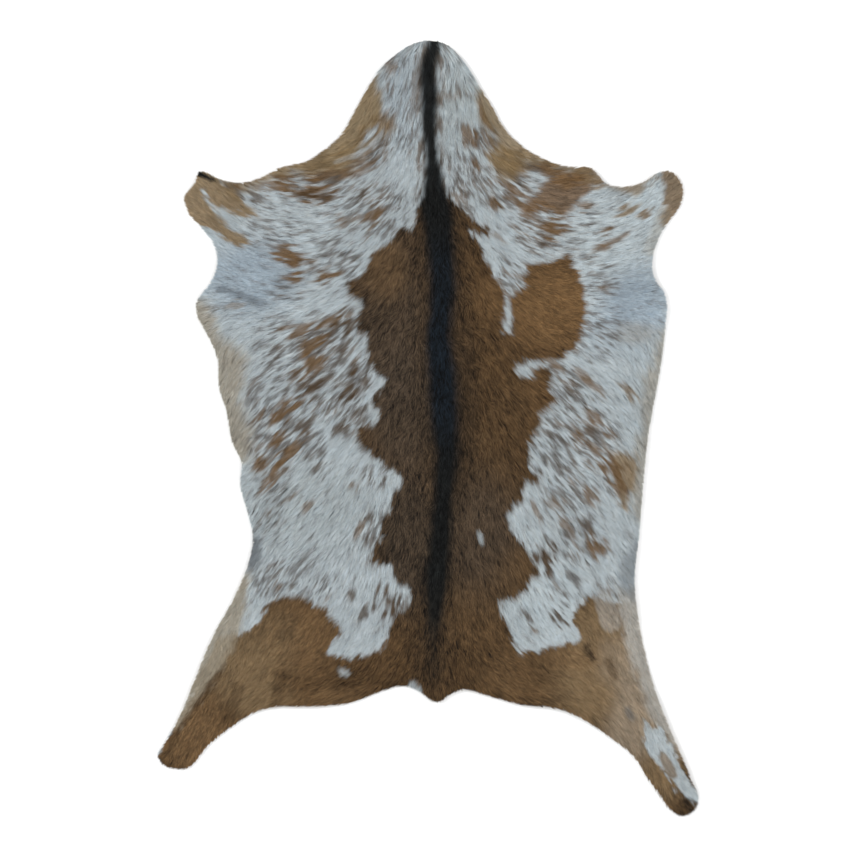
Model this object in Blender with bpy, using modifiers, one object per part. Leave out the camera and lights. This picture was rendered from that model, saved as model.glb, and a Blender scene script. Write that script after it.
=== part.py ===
"""Goatskin rug: one whole tanned hide with its hair on, laid flat with the hair side up.

Metres, +Z up, +Y from the tail to the neck. The origin is on the floor under the middle of the
hide's length and width. The solid is the skin with the hair that lies on it. Its underside rests
on the floor and lifts in a few soft waves, most of them along the edge.
"""

import bmesh
import bpy
import numpy as np

# Driving dimensions
MM = 0.001
HIDE_LENGTH = 0.932
SPINE_X = 0.0110
NECK_Y = HIDE_LENGTH / 2
PILE_BACK = 0.0085
PILE_EDGE = 0.0050
THINNING_STARTS = 0.165
THINNING_ENDS = 0.265
SHEET_STEP = 0.015
SHEET_MARGIN = 0.030
CURVE_STEPS = 3
PRISM_BOTTOM = -0.020
PRISM_TOP = 0.060

HAIR_COLOUR = (0.17, 0.10, 0.055, 1.0)
HAIR_ROUGHNESS = 0.85

# The hide's edge from the neck's end to the tail, in mm.
# Columns: place, down from the neck's end, out from the spine line.
LEFT_EDGE = [
    ("neck corner", 3, 27),
    ("neck bend", 20, 54),
    ("neck side", 39, 71),
    ("neck side, lower", 92, 102),
    ("neck root", 116, 116),
    ("shoulder", 137, 142),
    ("shoulder slope", 148, 160),
    ("shoulder point", 152, 184),
    ("shoulder hollow", 167, 214),
    ("foreleg root", 172, 240),
    ("foreleg front", 166, 264),
    ("foreleg end, front", 158, 287),
    ("foreleg end", 170, 290),
    ("foreleg end, back", 192, 305),
    ("foreleg back", 242, 270),
    ("armpit", 265, 264),
    ("above the elbow", 291, 272),
    ("elbow", 318, 290),
    ("below the elbow", 362, 272),
    ("chest", 385, 263),
    ("chest, lower", 420, 262),
    ("belly", 444, 253),
    ("belly, lower", 484, 246),
    ("belly nick", 509, 234),
    ("belly lobe", 531, 237),
    ("flank", 566, 228),
    ("flank, narrowest", 602, 221),
    ("thigh", 668, 243),
    ("thigh, lower", 707, 265),
    ("shank", 751, 284),
    ("hock", 817, 312),
    ("below the hock", 845, 328),
    ("hind leg end, outside", 862, 336),
    ("hind leg end", 876, 311),
    ("hind leg end, inside", 872, 295),
    ("shank, inside", 850, 277),
    ("thigh, inside", 829, 252),
    ("hind leg root", 804, 211),
    ("rump corner", 800, 150),
    ("rump", 796, 104),
    ("rump, by the notch", 781, 64),
    ("tail notch", 776, 37),
    ("tail side", 785, 18),
]
RIGHT_EDGE = [
    ("neck corner", 6, 14),
    ("neck bend", 25, 31),
    ("neck side", 55, 50),
    ("neck side, middle", 80, 66),
    ("neck side, lower", 106, 79),
    ("neck root", 126, 99),
    ("shoulder", 138, 117),
    ("shoulder point", 154, 161),
    ("shoulder lobe", 153, 184),
    ("foreleg root", 173, 202),
    ("foreleg front", 177, 220),
    ("foreleg front, middle", 171, 248),
    ("foreleg front, outer", 161, 262),
    ("foreleg end, front", 157, 277),
    ("foreleg end", 166, 290),
    ("foreleg end, back", 184, 296),
    ("foreleg back, upper", 201, 291),
    ("foreleg back", 216, 280),
    ("above the armpit", 236, 267),
    ("armpit", 272, 258),
    ("below the armpit", 290, 263),
    ("elbow", 305, 274),
    ("chest", 346, 274),
    ("chest, lower", 417, 264),
    ("belly", 470, 254),
    ("belly, lower", 548, 246),
    ("flank", 600, 242),
    ("flank, narrowest", 640, 237),
    ("thigh", 692, 241),
    ("thigh, lower", 736, 250),
    ("shank", 785, 263),
    ("hock", 851, 290),
    ("hind leg, outside", 890, 306),
    ("hind leg end, outside", 915, 314),
    ("hind leg end", 932, 296),
    ("hind leg end, inside", 925, 280),
    ("shank, inside lower", 903, 264),
    ("shank, inside", 878, 246),
    ("shank nick", 863, 238),
    ("hind leg root", 846, 219),
    ("rump corner", 804, 150),
    ("rump", 798, 100),
    ("rump, by the notch", 785, 52),
    ("tail notch", 780, 34),
    ("tail side", 787, 14),
]
NECK_END = (0, -7)
TAIL = (796, 0)

# Soft waves in which the skin lifts from the floor, in mm.
# Columns: place, start down, start out, end down, end out, half width, height.
# Out is negative on the left.
WAVES = [
    ("left armpit crease", 268, -285, 292, -205, 16, 5),
    ("left elbow", 322, -302, 345, -268, 22, 6),
    ("left belly edge", 470, -252, 545, -240, 18, 4),
    ("left flank edge", 600, -232, 655, -246, 18, 5),
    ("left thigh edge", 720, -285, 800, -318, 20, 6),
    ("left shank ridge", 800, -275, 850, -305, 18, 4),
    ("left rump edge", 806, -190, 802, -140, 18, 4),
    ("left shoulder lobe", 150, -200, 176, -185, 20, 5),
    ("left foreleg ridge", 176, -292, 200, -262, 18, 4),
    ("neck fold", 60, -35, 60, 25, 28, 3),
    ("right shoulder lobe", 148, 178, 176, 168, 20, 6),
    ("right foreleg ridge", 172, 282, 192, 240, 18, 5),
    ("right armpit crease", 276, 268, 286, 210, 16, 5),
    ("right elbow", 308, 282, 330, 262, 20, 5),
    ("right belly edge", 480, 262, 560, 252, 18, 4),
    ("right flank edge", 610, 250, 690, 246, 18, 5),
    ("right shank edge", 800, 268, 880, 304, 20, 6),
    ("right shank ridge", 860, 262, 905, 290, 18, 4),
    ("right rump edge", 812, 165, 800, 105, 18, 4),
    ("tail notch edge", 780, 45, 788, 4, 16, 3),
]


def position(down, out):
    """X and Y in metres of a place given in mm down from the neck's end and out to the right."""
    return SPINE_X + out * MM, NECK_Y - down * MM


def clear_scene():
    for ob in list(bpy.data.objects):
        bpy.data.objects.remove(ob, do_unlink=True)


def new_collection(name):
    collection = bpy.data.collections.new(name)
    bpy.context.scene.collection.children.link(collection)
    return collection


def hair_material():
    material = bpy.data.materials.new("hair_on_hide")
    material.use_nodes = True
    shader = material.node_tree.nodes["Principled BSDF"]
    shader.inputs["Base Color"].default_value = HAIR_COLOUR
    shader.inputs["Roughness"].default_value = HAIR_ROUGHNESS
    shader.inputs["Metallic"].default_value = 0.0
    return material


def edge_points():
    """The hide's edge as one closed round: down the left side, over the tail and up the right."""
    left = [position(down, -out) for _, down, out in LEFT_EDGE]
    right = [position(down, out) for _, down, out in RIGHT_EDGE]
    return [position(*NECK_END), *left, position(*TAIL), *reversed(right)]


def outline_cutter(collection):
    """An upright prism with the hide's outline, made from a smooth flat curve."""
    points = edge_points()
    curve = bpy.data.curves.new("hide_outline", "CURVE")
    curve.dimensions = "2D"
    curve.fill_mode = "BOTH"
    curve.extrude = (PRISM_TOP - PRISM_BOTTOM) / 2
    curve.resolution_u = CURVE_STEPS
    spline = curve.splines.new("BEZIER")
    spline.bezier_points.add(len(points) - 1)
    for knot, (x, y) in zip(spline.bezier_points, points):
        knot.co = (x, y, 0)
        knot.handle_left_type = "AUTO"
        knot.handle_right_type = "AUTO"
    spline.use_cyclic_u = True
    drawn = bpy.data.objects.new("hide_outline", curve)
    drawn.location.z = (PRISM_TOP + PRISM_BOTTOM) / 2
    collection.objects.link(drawn)
    bpy.context.view_layer.update()

    graph = bpy.context.evaluated_depsgraph_get()
    mesh = bpy.data.meshes.new_from_object(drawn.evaluated_get(graph))
    bm = bmesh.new()
    bm.from_mesh(mesh)
    bmesh.ops.remove_doubles(bm, verts=bm.verts, dist=0.00001)
    bmesh.ops.recalc_face_normals(bm, faces=bm.faces)
    bm.to_mesh(mesh)
    bm.free()

    cutter = bpy.data.objects.new("outline_prism", mesh)
    cutter.matrix_world = drawn.matrix_world
    cutter.hide_render = True
    cutter.display_type = "WIRE"
    collection.objects.link(cutter)
    bpy.data.objects.remove(drawn, do_unlink=True)
    return cutter


def lift(x, y):
    """How far the skin is off the floor: the sum of the waves, each a soft ridge whose height
    falls off with the distance to its line as a Gaussian of its half width."""
    total = np.zeros_like(x)
    for _, down_0, out_0, down_1, out_1, half_width, height in WAVES:
        x0, y0 = position(down_0, out_0)
        x1, y1 = position(down_1, out_1)
        run_x, run_y = x1 - x0, y1 - y0
        along = ((x - x0) * run_x + (y - y0) * run_y) / (run_x**2 + run_y**2)
        along = np.clip(along, 0, 1)
        away = np.hypot(x - x0 - along * run_x, y - y0 - along * run_y)
        total += height * MM * np.exp(-((away / (half_width * MM)) ** 2))
    return total


def pile_share(x):
    """The pile's depth beside that on the back: full near the spine, less on belly and legs."""
    away = np.abs(x - SPINE_X)
    t = np.clip((away - THINNING_STARTS) / (THINNING_ENDS - THINNING_STARTS), 0, 1)
    return 1 - (1 - PILE_EDGE / PILE_BACK) * t * t * (3 - 2 * t)


def goatskin(collection, cutter):
    """A grid lifted by the waves, thickened by the pile's depth and cut to the outline."""
    xs, ys = zip(*edge_points())
    width = max(xs) - min(xs) + 2 * SHEET_MARGIN
    length = max(ys) - min(ys) + 2 * SHEET_MARGIN
    bpy.ops.mesh.primitive_grid_add(
        x_subdivisions=round(width / SHEET_STEP),
        y_subdivisions=round(length / SHEET_STEP),
        size=1,
    )
    hide = bpy.context.object
    hide.name = "goatskin"
    mesh = hide.data
    co = np.empty(len(mesh.vertices) * 3)
    mesh.vertices.foreach_get("co", co)
    co = co.reshape(-1, 3)
    co[:, 0] = co[:, 0] * width + (max(xs) + min(xs)) / 2
    co[:, 1] = co[:, 1] * length + (max(ys) + min(ys)) / 2
    co[:, 2] = lift(co[:, 0], co[:, 1])
    mesh.vertices.foreach_set("co", co.ravel())
    mesh.update()

    pile = hide.vertex_groups.new(name="pile")
    for index, share in enumerate(pile_share(co[:, 0])):
        pile.add([index], float(share), "REPLACE")
    thicken = hide.modifiers.new("skin and pile", "SOLIDIFY")
    thicken.thickness = PILE_BACK
    thicken.offset = 1
    thicken.vertex_group = pile.name
    cut = hide.modifiers.new("cut to the outline", "BOOLEAN")
    cut.operation = "INTERSECT"
    cut.solver = "EXACT"
    cut.object = cutter

    mesh.materials.append(hair_material())
    for holder in list(hide.users_collection):
        holder.objects.unlink(hide)
    collection.objects.link(hide)
    return hide


def main():
    clear_scene()
    parts = new_collection("goatskin_rug")
    cutters = new_collection("cutters")
    goatskin(parts, outline_cutter(cutters))


main()
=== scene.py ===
"""Goatskin rug: a tanned skin laid flat, and the coat of lying hair that it carries.

The skin is one thin closed sheet on its solid's folds. The hair is some 290,000 tapered strands
in locks, drawn together towards their tips. Every strand takes its colour from the coat's
pattern: white with brown flecks, a brown saddle and hindquarters, and a black stripe.

The mesh is in metres, +Z up and +Y from the tail to the neck. The hide is worked out in mm:
"down" from the neck's end towards the tail, "out" from the spine, above zero to the right.
"""

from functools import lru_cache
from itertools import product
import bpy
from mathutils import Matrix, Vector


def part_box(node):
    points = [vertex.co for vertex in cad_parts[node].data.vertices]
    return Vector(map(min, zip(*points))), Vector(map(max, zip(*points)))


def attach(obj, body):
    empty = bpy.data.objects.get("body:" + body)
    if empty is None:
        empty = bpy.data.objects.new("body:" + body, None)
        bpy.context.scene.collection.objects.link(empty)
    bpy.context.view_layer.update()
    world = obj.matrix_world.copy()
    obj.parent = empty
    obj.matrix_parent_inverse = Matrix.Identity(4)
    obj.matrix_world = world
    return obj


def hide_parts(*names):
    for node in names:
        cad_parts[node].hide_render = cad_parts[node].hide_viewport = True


bl_info = {
    "name": "Goatskin Rug",
    "version": (1, 0, 0),
    "blender": (4, 5, 0),
    "location": "View3D > Sidebar > Goatskin",
    "description": "Makes a flat goatskin rug with its skin, its locks of hair and its pattern",
    "category": "Add Mesh",
}

from types import SimpleNamespace

import bmesh
import bpy
import numpy as np
from bpy.props import FloatProperty, FloatVectorProperty, IntProperty, PointerProperty

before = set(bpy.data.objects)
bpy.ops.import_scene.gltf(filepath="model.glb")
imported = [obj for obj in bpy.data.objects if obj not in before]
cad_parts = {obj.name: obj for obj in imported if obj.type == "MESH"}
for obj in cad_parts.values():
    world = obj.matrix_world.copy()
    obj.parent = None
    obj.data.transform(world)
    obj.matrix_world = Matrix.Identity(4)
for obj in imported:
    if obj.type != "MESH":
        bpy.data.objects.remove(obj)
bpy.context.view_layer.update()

# The hide's frame: the spine's place in metres, and its sizes in mm
NODE = "goatskin"
MM = 0.001
SPINE_X = 0.0110
LOW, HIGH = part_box(NODE)
NECK_Y = HIGH[1]
LEFT_END = (LOW[0] - SPINE_X) / MM
HIDE_WIDTH = (HIGH[0] - LOW[0]) / MM
HIDE_LENGTH = (HIGH[1] - LOW[1]) / MM

# Charts of values over the hide: their margin around it, their steps, and the reach over which
# the solid's folds are evened out, in mm. A place is kept inside a grid's last cell by TINY.
CHART_MARGIN = 30.0
DEPTH_STEP = 2.0
LIFT_STEP = 6.0
LIFT_REACH = 8.0
TINY = 0.001

# How the hair lies: the angle from straight down the spine, turned outwards, in degrees.
# Columns of LAY: place, down, then one angle for each distance out in LAY_OUT.
LAY_OUT = (0, 40, 80, 125, 165, 210, 255, 300)
LAY = [
    ("neck end", 0, 0, 10, 20, 30, 40, 50, 60, 60),
    ("neck", 60, 0, 12, 22, 30, 45, 60, 70, 70),
    ("neck root", 100, 0, 14, 35, 55, 70, 80, 90, 100),
    ("shoulder", 140, 0, 20, 55, 80, 88, 95, 110, 120),
    ("foreleg", 180, 0, 30, 56, 77, 93, 112, 124, 128),
    ("behind the foreleg", 240, 0, 28, 50, 68, 90, 108, 122, 125),
    ("armpit", 290, 0, 24, 46, 67, 86, 102, 105, 105),
    ("elbow", 332, 0, 20, 40, 58, 74, 80, 65, 60),
    ("chest", 370, 0, 20, 38, 58, 60, 54, 20, 20),
    ("belly", 440, 0, 20, 34, 44, 50, 42, 18, 18),
    ("flank", 500, 0, 14, 30, 40, 46, 42, 24, 20),
    ("hip", 600, 0, 14, 18, 28, 39, 36, 28, 28),
    ("rump", 680, 0, 12, 20, 32, 42, 30, 22, 25),
    ("rump, lower", 750, 0, 28, 46, 48, 45, 32, 22, 28),
    ("hind leg root", 795, 0, 45, 60, 66, 60, 52, 32, 28),
    ("hock", 835, 0, 30, 30, 32, 32, 30, 30, 30),
    ("hind leg end", 935, 0, 30, 30, 30, 30, 30, 30, 30),
]

# Where the hair's length and ruffle differ from the body's: lengths in mm, ruffle in radians.
# Columns: place, down, out, half length, half width, hair length, ruffle.
LENGTHS = [
    ("neck", 60, 0, 110, 90, 20, 0.10),
    ("saddle", 400, 5, 330, 85, 12, 0.26),
    ("right lobe", 318, 138, 60, 50, 11, 0.18),
    ("left loin", 590, -150, 60, 70, 18, 0.05),
    ("rump", 740, 0, 70, 160, 12, 0.18),
    ("left hip", 730, -190, 80, 80, 9, 0.16),
    ("right hip", 730, 190, 80, 80, 9, 0.16),
    ("left shank", 830, -290, 70, 60, 7, 0.12),
    ("right shank", 870, 270, 80, 50, 7, 0.12),
    ("left foreleg", 190, -285, 45, 45, 8, 0.10),
    ("right foreleg", 185, 275, 45, 40, 8, 0.10),
    ("left armpit", 285, -235, 40, 50, 10, 0.10),
    ("right armpit", 315, 250, 45, 40, 10, 0.10),
]

# Patches of the coat, each an outline of places (down, out) in mm.
SADDLE = [
    (180, -8), (190, -20), (204, -25), (217, -24), (227, -34), (232, -49), (246, -62), (259, -76),
    (268, -83), (279, -86), (288, -93), (294, -110), (301, -108), (307, -101), (316, -94),
    (330, -92), (344, -96), (352, -90), (358, -82), (382, -82), (397, -76), (410, -62), (422, -70),
    (434, -80), (447, -68), (457, -70), (465, -94), (484, -96), (496, -82), (514, -58),
    (524, -42), (537, -44), (553, -57), (567, -57), (577, -66), (592, -67), (609, -74),
    (626, -80), (631, -64), (629, -50), (646, -50), (653, -41), (659, -29), (677, -33), (690, -48),
    (704, -56), (722, -62), (733, -67), (737, -80), (743, -102), (741, -118), (734, -129),
    (722, -128), (711, -116), (698, -120), (685, -134), (674, -153), (668, -170), (669, -191),
    (682, -206), (697, -214), (712, -226), (718, -262), (949, -380), (961, 380), (674, 262),
    (674, 208), (670, 194), (666, 180), (681, 170), (689, 163), (701, 161), (717, 171),
    (723, 168), (726, 148), (731, 130), (735, 112), (735, 98), (722, 90), (709, 84), (694, 80),
    (676, 75), (669, 82), (671, 94), (662, 107), (651, 112), (640, 121), (627, 117), (613, 108),
    (602, 99), (590, 89), (575, 83), (566, 86), (557, 91), (552, 101), (542, 103), (530, 108),
    (534, 121), (523, 120), (516, 113), (506, 108), (494, 107), (484, 111), (469, 120),
    (451, 124), (441, 134), (431, 143), (420, 134), (410, 133), (402, 138), (395, 138),
    (389, 126), (392, 117), (401, 114), (408, 106), (404, 97), (397, 92), (389, 94),
    (386, 102), (384, 115), (385, 131), (380, 152), (372, 165), (358, 172), (343, 175),
    (322, 178), (301, 176), (283, 170), (268, 163), (257, 156), (261, 148), (265, 138),
    (267, 122), (269, 106), (283, 106), (296, 102), (303, 91), (310, 86), (320, 86), (330, 88),
    (342, 90), (352, 88), (351, 80), (342, 80), (329, 82), (314, 84), (305, 84), (296, 77),
    (288, 72), (276, 65), (263, 58), (249, 52), (239, 45), (230, 38), (233, 50), (236, 63),
    (228, 60), (220, 51), (213, 41), (206, 30), (198, 23), (190, 16), (180, 9),
]
LEFT_NECK = [
    (46, -72), (69, -68), (88, -66), (95, -54), (106, -50), (113, -58), (122, -72), (132, -84),
    (144, -92), (158, -98), (167, -116), (169, -138), (164, -158), (157, -176), (169, -184),
    (166, -200), (181, -218), (183, -236), (176, -254), (151, -266), (97, -188), (46, -104),
]
LEFT_NECK_EDGE = [
    (46, -72), (69, -68), (90, -66), (102, -74), (114, -88), (130, -94), (148, -98),
    (158, -124), (158, -160), (162, -190), (172, -222), (151, -266), (97, -188), (46, -104),
]
RIGHT_NECK = [
    (53, 57), (67, 48), (80, 50), (97, 53), (106, 62), (116, 72), (126, 72), (132, 63),
    (140, 62), (152, 68), (166, 76), (166, 90), (150, 104), (149, 128), (153, 150),
    (166, 168), (133, 208), (85, 124), (43, 82),
]
RIGHT_SHOULDER = [
    (204, 99), (189, 112), (176, 123), (167, 136), (163, 152), (160, 166), (166, 180),
    (178, 186), (187, 178), (198, 169), (207, 157), (212, 144), (206, 132), (202, 124),
    (209, 115), (210, 102),
]
RIGHT_SHOULDER_FRONT = [(140, 176), (158, 168), (172, 178), (180, 192), (172, 206), (145, 210)]
LEFT_FORELEG = [
    (145, -320), (145, -265), (170, -262), (180, -248), (192, -237), (200, -223), (213, -215),
    (215, -229), (208, -242), (201, -257), (195, -270), (184, -275), (181, -281), (195, -276),
    (206, -268), (220, -255), (233, -241), (244, -226), (250, -235), (242, -250), (227, -268),
    (224, -280), (211, -320),
]
RIGHT_FORELEG_END = [
    (145, 270), (161, 269), (172, 271), (181, 274), (193, 273), (202, 273), (214, 266),
    (226, 273), (217, 316), (145, 316),
]
RIGHT_FORELEG_FRONT = [
    (151, 200), (173, 197), (179, 212), (185, 230), (188, 239), (176, 251), (165, 262), (145, 268),
]
LEFT_BELLY = [
    (308, -302), (313, -277), (334, -265), (355, -260), (369, -242), (385, -226), (409, -232),
    (427, -238), (445, -229), (469, -222), (493, -220), (507, -230), (517, -302),
]
RIGHT_BELLY = [
    (343, 304), (349, 270), (367, 262), (391, 256), (403, 246), (433, 245), (469, 244), (493, 237),
    (517, 232), (541, 230), (565, 234), (579, 244), (579, 304),
]
LEFT_THIGH = [
    (631, -284), (639, -226), (661, -227), (685, -229), (706, -235), (730, -249), (751, -258),
    (766, -267), (781, -278), (802, -294), (824, -308), (832, -344),
]
RIGHT_THIGH = [
    (655, 304), (660, 218), (685, 218), (715, 224), (745, 233), (775, 245), (803, 253),
    (821, 262), (838, 276), (862, 294), (847, 340),
]
RIGHT_HOCK = [
    (817, 248), (826, 256), (825, 268), (838, 275), (855, 285), (872, 292), (884, 298), (898, 306),
    (910, 316), (916, 309), (908, 298), (898, 286), (891, 280), (880, 271), (868, 262),
    (856, 252), (838, 250),
]
RIGHT_FLANK = [
    (497, 209), (494, 224), (502, 241), (529, 237), (550, 230), (564, 226), (560, 219),
    (545, 216), (523, 213),
]
LEFT_GROIN = [(588, -240), (592, -221), (604, -212), (622, -210), (636, -220), (636, -250)]
RIGHT_GROIN = [(604, 260), (606, 238), (622, 222), (646, 218), (668, 224), (676, 234), (676, 260)]

# The patches in the order in which they lie over each other.
# Columns: place, colour, share of the hair, softness of the edge in mm, outline.
UNDER_PATCHES = [
    ("left belly edge", "beige", 0.8, 10, LEFT_BELLY),
    ("right belly edge", "grey", 0.8, 8, RIGHT_BELLY),
    ("left of the neck", "gold", 0.8, 7, LEFT_NECK),
    ("right of the neck", "gold", 0.65, 7, RIGHT_NECK),
    ("right foreleg front", "tan", 0.8, 5, RIGHT_FORELEG_FRONT),
    ("right flank", "tan", 0.9, 4, RIGHT_FLANK),
]
PATCHES = [
    ("left of the neck, over the flecks", "gold", 0.5, 5, LEFT_NECK_EDGE),
    ("right of the neck, over the flecks", "gold", 0.5, 7, RIGHT_NECK),
    ("right shoulder", "russet", 0.9, 3, RIGHT_SHOULDER),
    ("right shoulder, front", "bark", 0.85, 4, RIGHT_SHOULDER_FRONT),
    ("left foreleg", "tan", 0.95, 3, LEFT_FORELEG),
    ("right foreleg end", "bark", 0.9, 4, RIGHT_FORELEG_END),
    ("saddle, rump and hind legs", "saddle", 1.0, 2, SADDLE),
    ("left thigh edge", "beige", 0.85, 7, LEFT_THIGH),
    ("right thigh edge", "pale", 0.85, 7, RIGHT_THIGH),
    ("right hock", "white", 0.95, 2, RIGHT_HOCK),
    # Partly painted shade: the slate at both groins stands for shade where the edge curls under, as
    # well as for dark skin.
    ("left groin", "slate", 0.75, 4, LEFT_GROIN),
    ("right groin", "slate", 0.5, 5, RIGHT_GROIN),
]

# How the brown changes over the saddle and the hind legs.
# Columns: place, down, out, half length, half width, colour, share.
BROWN_TONES = [
    ("left of the saddle", 330, -55, 130, 50, "umber", 0.75),
    ("left of the saddle, middle", 450, -40, 90, 50, "umber", 0.75),
    ("left of the saddle, low", 600, -35, 90, 40, "umber", 0.9),
    ("left of the saddle, lower", 585, -45, 50, 30, "dark", 0.3),
    ("left of the saddle, upper", 275, -62, 40, 30, "hip", 0.55),
    ("right of the saddle, low", 595, 50, 85, 55, "dun", 0.85),
    ("right of the saddle, end", 690, 50, 45, 45, "hip", 0.3),
    ("beside the white by the tail", 640, 95, 30, 30, "hip", 0.3),
    ("right of the stripe", 440, 32, 130, 22, "dark", 0.5),
    ("reddish hair by the lobe", 312, 62, 34, 22, "russet", 0.35),
    ("wedge below the lobe", 428, 124, 28, 24, "russet", 0.5),
    ("between the lobe and the wedge", 384, 98, 30, 44, "russet", 0.3),
    ("right lobe", 318, 138, 60, 62, "russet", 1.0),
    ("below the right lobe", 470, 85, 70, 45, "hip", 0.15),
    ("rump, left", 745, -70, 40, 60, "russet", 0.15),
    ("rump, middle", 735, -5, 45, 30, "dark", 0.35),
    ("rump, left edge", 792, -130, 16, 60, "hip", 0.7),
    ("right of the rump", 760, 110, 40, 60, "hip", 0.45),
    ("left hip", 715, -165, 55, 55, "hip", 0.9),
    ("left hip, outer", 722, -205, 45, 40, "bark", 0.5),
    ("left thigh", 760, -235, 50, 45, "bark", 0.9),
    ("left thigh, lower edge", 790, -215, 20, 40, "bark", 0.8),
    ("left shank", 830, -290, 55, 45, "hip", 1.0),
    ("right hip", 725, 195, 60, 45, "bark", 1.0),
    ("right thigh", 775, 195, 55, 55, "bark", 1.0),
    ("right hip, outer", 745, 210, 30, 20, "fawn", 0.5),
    ("right thigh, outer", 785, 242, 75, 30, "fawn", 1.0),
    ("right hip, inner", 742, 165, 16, 34, "hip", 0.5),
    ("right shank", 870, 266, 50, 40, "bark", 0.9),
    ("right shank, upper", 832, 232, 36, 32, "fawn", 0.9),
]

# How the white changes over the coat. The columns are those of BROWN_TONES.
WHITE_TONES = [
    # Partly painted shade: the cool tone in both armpits stands for the shade of their folds as
    # well as for thin bluish hair.
    ("left armpit", 286, -225, 48, 62, "cool", 0.8),
    ("right armpit", 320, 240, 52, 45, "cool", 0.85),
    ("neck, left", 70, -40, 60, 40, "cool", 0.3),
    ("neck, right", 80, 25, 60, 35, "cream", 0.6),
    ("left loin", 560, -150, 60, 80, "cream", 0.5),
    ("right shoulder", 236, 204, 44, 44, "bright", 0.7),
    ("right loin", 660, 130, 60, 50, "bright", 0.7),
    ("right chest", 352, 234, 14, 34, "beige", 0.4),
    ("right foreleg", 188, 250, 26, 26, "bright", 0.8),
    ("right side", 352, 196, 30, 30, "cool", 0.3),
]

# A painted bluish sheen along the stripe's middle: the black is mixed towards a bluish colour that
# stands for the sky's reflection on it. The columns are those of BROWN_TONES.
BLACK_SHEEN = [
    ("upper back", 300, 6, 60, 60, "navy", 0.7),
    ("middle of the back", 400, 6, 90, 60, "navy", 0.9),
]

# The flecks in the white and the tan: fine ones by the strand and broad ones by the lock.
# Columns: place, down, out, half length, half width, share of fine ones, share of broad ones,
# and how brown they are beside grey.
FLECKS = [
    ("neck, left", 60, -45, 70, 35, 0.24, 0.05, 0.3),
    ("neck, left, low", 112, -36, 30, 20, 0.34, 0.12, 0.3),
    ("left of the neck", 125, -75, 34, 26, 0.40, 0.25, 0.7),
    ("left shoulder, top", 156, -138, 24, 54, 0.60, 0.64, 0.6),
    ("left shoulder, front", 174, -152, 22, 45, 0.50, 0.42, 0.8),
    ("behind the left foreleg", 184, -232, 22, 40, 0.42, 0.42, 0.7),
    ("left shoulder", 205, -82, 42, 56, 0.44, 0.20, 0.5),
    ("left shoulder, middle", 222, -200, 40, 60, 0.25, 0.04, 0.2),
    ("behind the left shoulder", 262, -120, 36, 44, 0.40, 0.18, 0.3),
    ("beside the saddle, upper", 334, -106, 22, 18, 0.48, 0.36, 0.6),
    ("behind the left armpit", 300, -180, 20, 26, 0.30, 0.08, 0.3),
    ("left side", 366, -130, 36, 46, 0.54, 0.48, 0.35),
    ("left side, outer", 376, -188, 44, 36, 0.42, 0.22, 0.2),
    ("left flank", 420, -140, 40, 50, 0.50, 0.34, 0.35),
    ("left flank, outer", 462, -198, 54, 40, 0.48, 0.32, 0.3),
    ("left flank, inner", 486, -152, 22, 24, 0.44, 0.26, 0.3),
    ("left belly", 423, -214, 24, 20, 0.42, 0.26, 0.3),
    ("left flank, by the saddle", 446, -108, 34, 26, 0.46, 0.25, 0.4),
    ("beside the saddle", 404, -94, 30, 20, 0.50, 0.44, 0.5),
    ("beside the saddle, middle", 526, -74, 18, 18, 0.40, 0.20, 0.2),
    ("left loin", 528, -128, 50, 60, 0.10, 0.03, 0.3),
    ("left loin, outer", 560, -200, 60, 42, 0.22, 0.05, 0.3),
    ("beside the saddle, low", 588, -80, 28, 20, 0.46, 0.24, 0.3),
    ("left groin", 650, -170, 35, 60, 0.34, 0.14, 0.2),
    ("neck, right", 50, 24, 60, 30, 0.26, 0.04, 0.3),
    ("right of the neck", 120, 58, 28, 20, 0.45, 0.30, 0.8),
    ("right of the neck, low", 160, 40, 34, 30, 0.50, 0.36, 0.5),
    ("right of the stripe", 196, 30, 22, 22, 0.50, 0.45, 0.5),
    ("right shoulder, top", 154, 88, 22, 38, 0.52, 0.55, 0.9),
    ("right shoulder, outer top", 156, 152, 20, 36, 0.54, 0.56, 0.9),
    ("right shoulder, inner", 182, 84, 24, 32, 0.50, 0.46, 0.8),
    ("right shoulder, middle", 226, 128, 34, 42, 0.50, 0.32, 0.7),
    ("right shoulder, outer", 236, 180, 40, 36, 0.24, 0.08, 0.5),
    ("right armpit", 290, 196, 30, 26, 0.32, 0.04, 0.3),
    ("beside the right lobe", 284, 88, 28, 16, 0.40, 0.25, 0.4),
    ("right chest", 350, 190, 42, 46, 0.30, 0.06, 0.3),
    ("below the right lobe", 400, 146, 16, 24, 0.40, 0.22, 0.6),
    ("right flank, upper", 425, 160, 34, 26, 0.48, 0.32, 0.5),
    ("right flank", 478, 184, 56, 34, 0.46, 0.26, 0.6),
    ("right flank, inner", 492, 146, 44, 40, 0.50, 0.28, 0.35),
    ("right flank, outer", 525, 212, 24, 14, 0.50, 0.45, 0.9),
    ("right loin", 548, 158, 34, 36, 0.45, 0.20, 0.4),
    ("right flank, low", 590, 168, 46, 34, 0.32, 0.15, 0.4),
    ("right groin", 676, 146, 28, 28, 0.24, 0.10, 0.3),
    ("right hip, front", 668, 200, 22, 30, 0.30, 0.25, 0.5),
]

# The flecks everywhere else: the last three columns
EVERYWHERE = (0.04, 0.0, 0.2)

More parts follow.
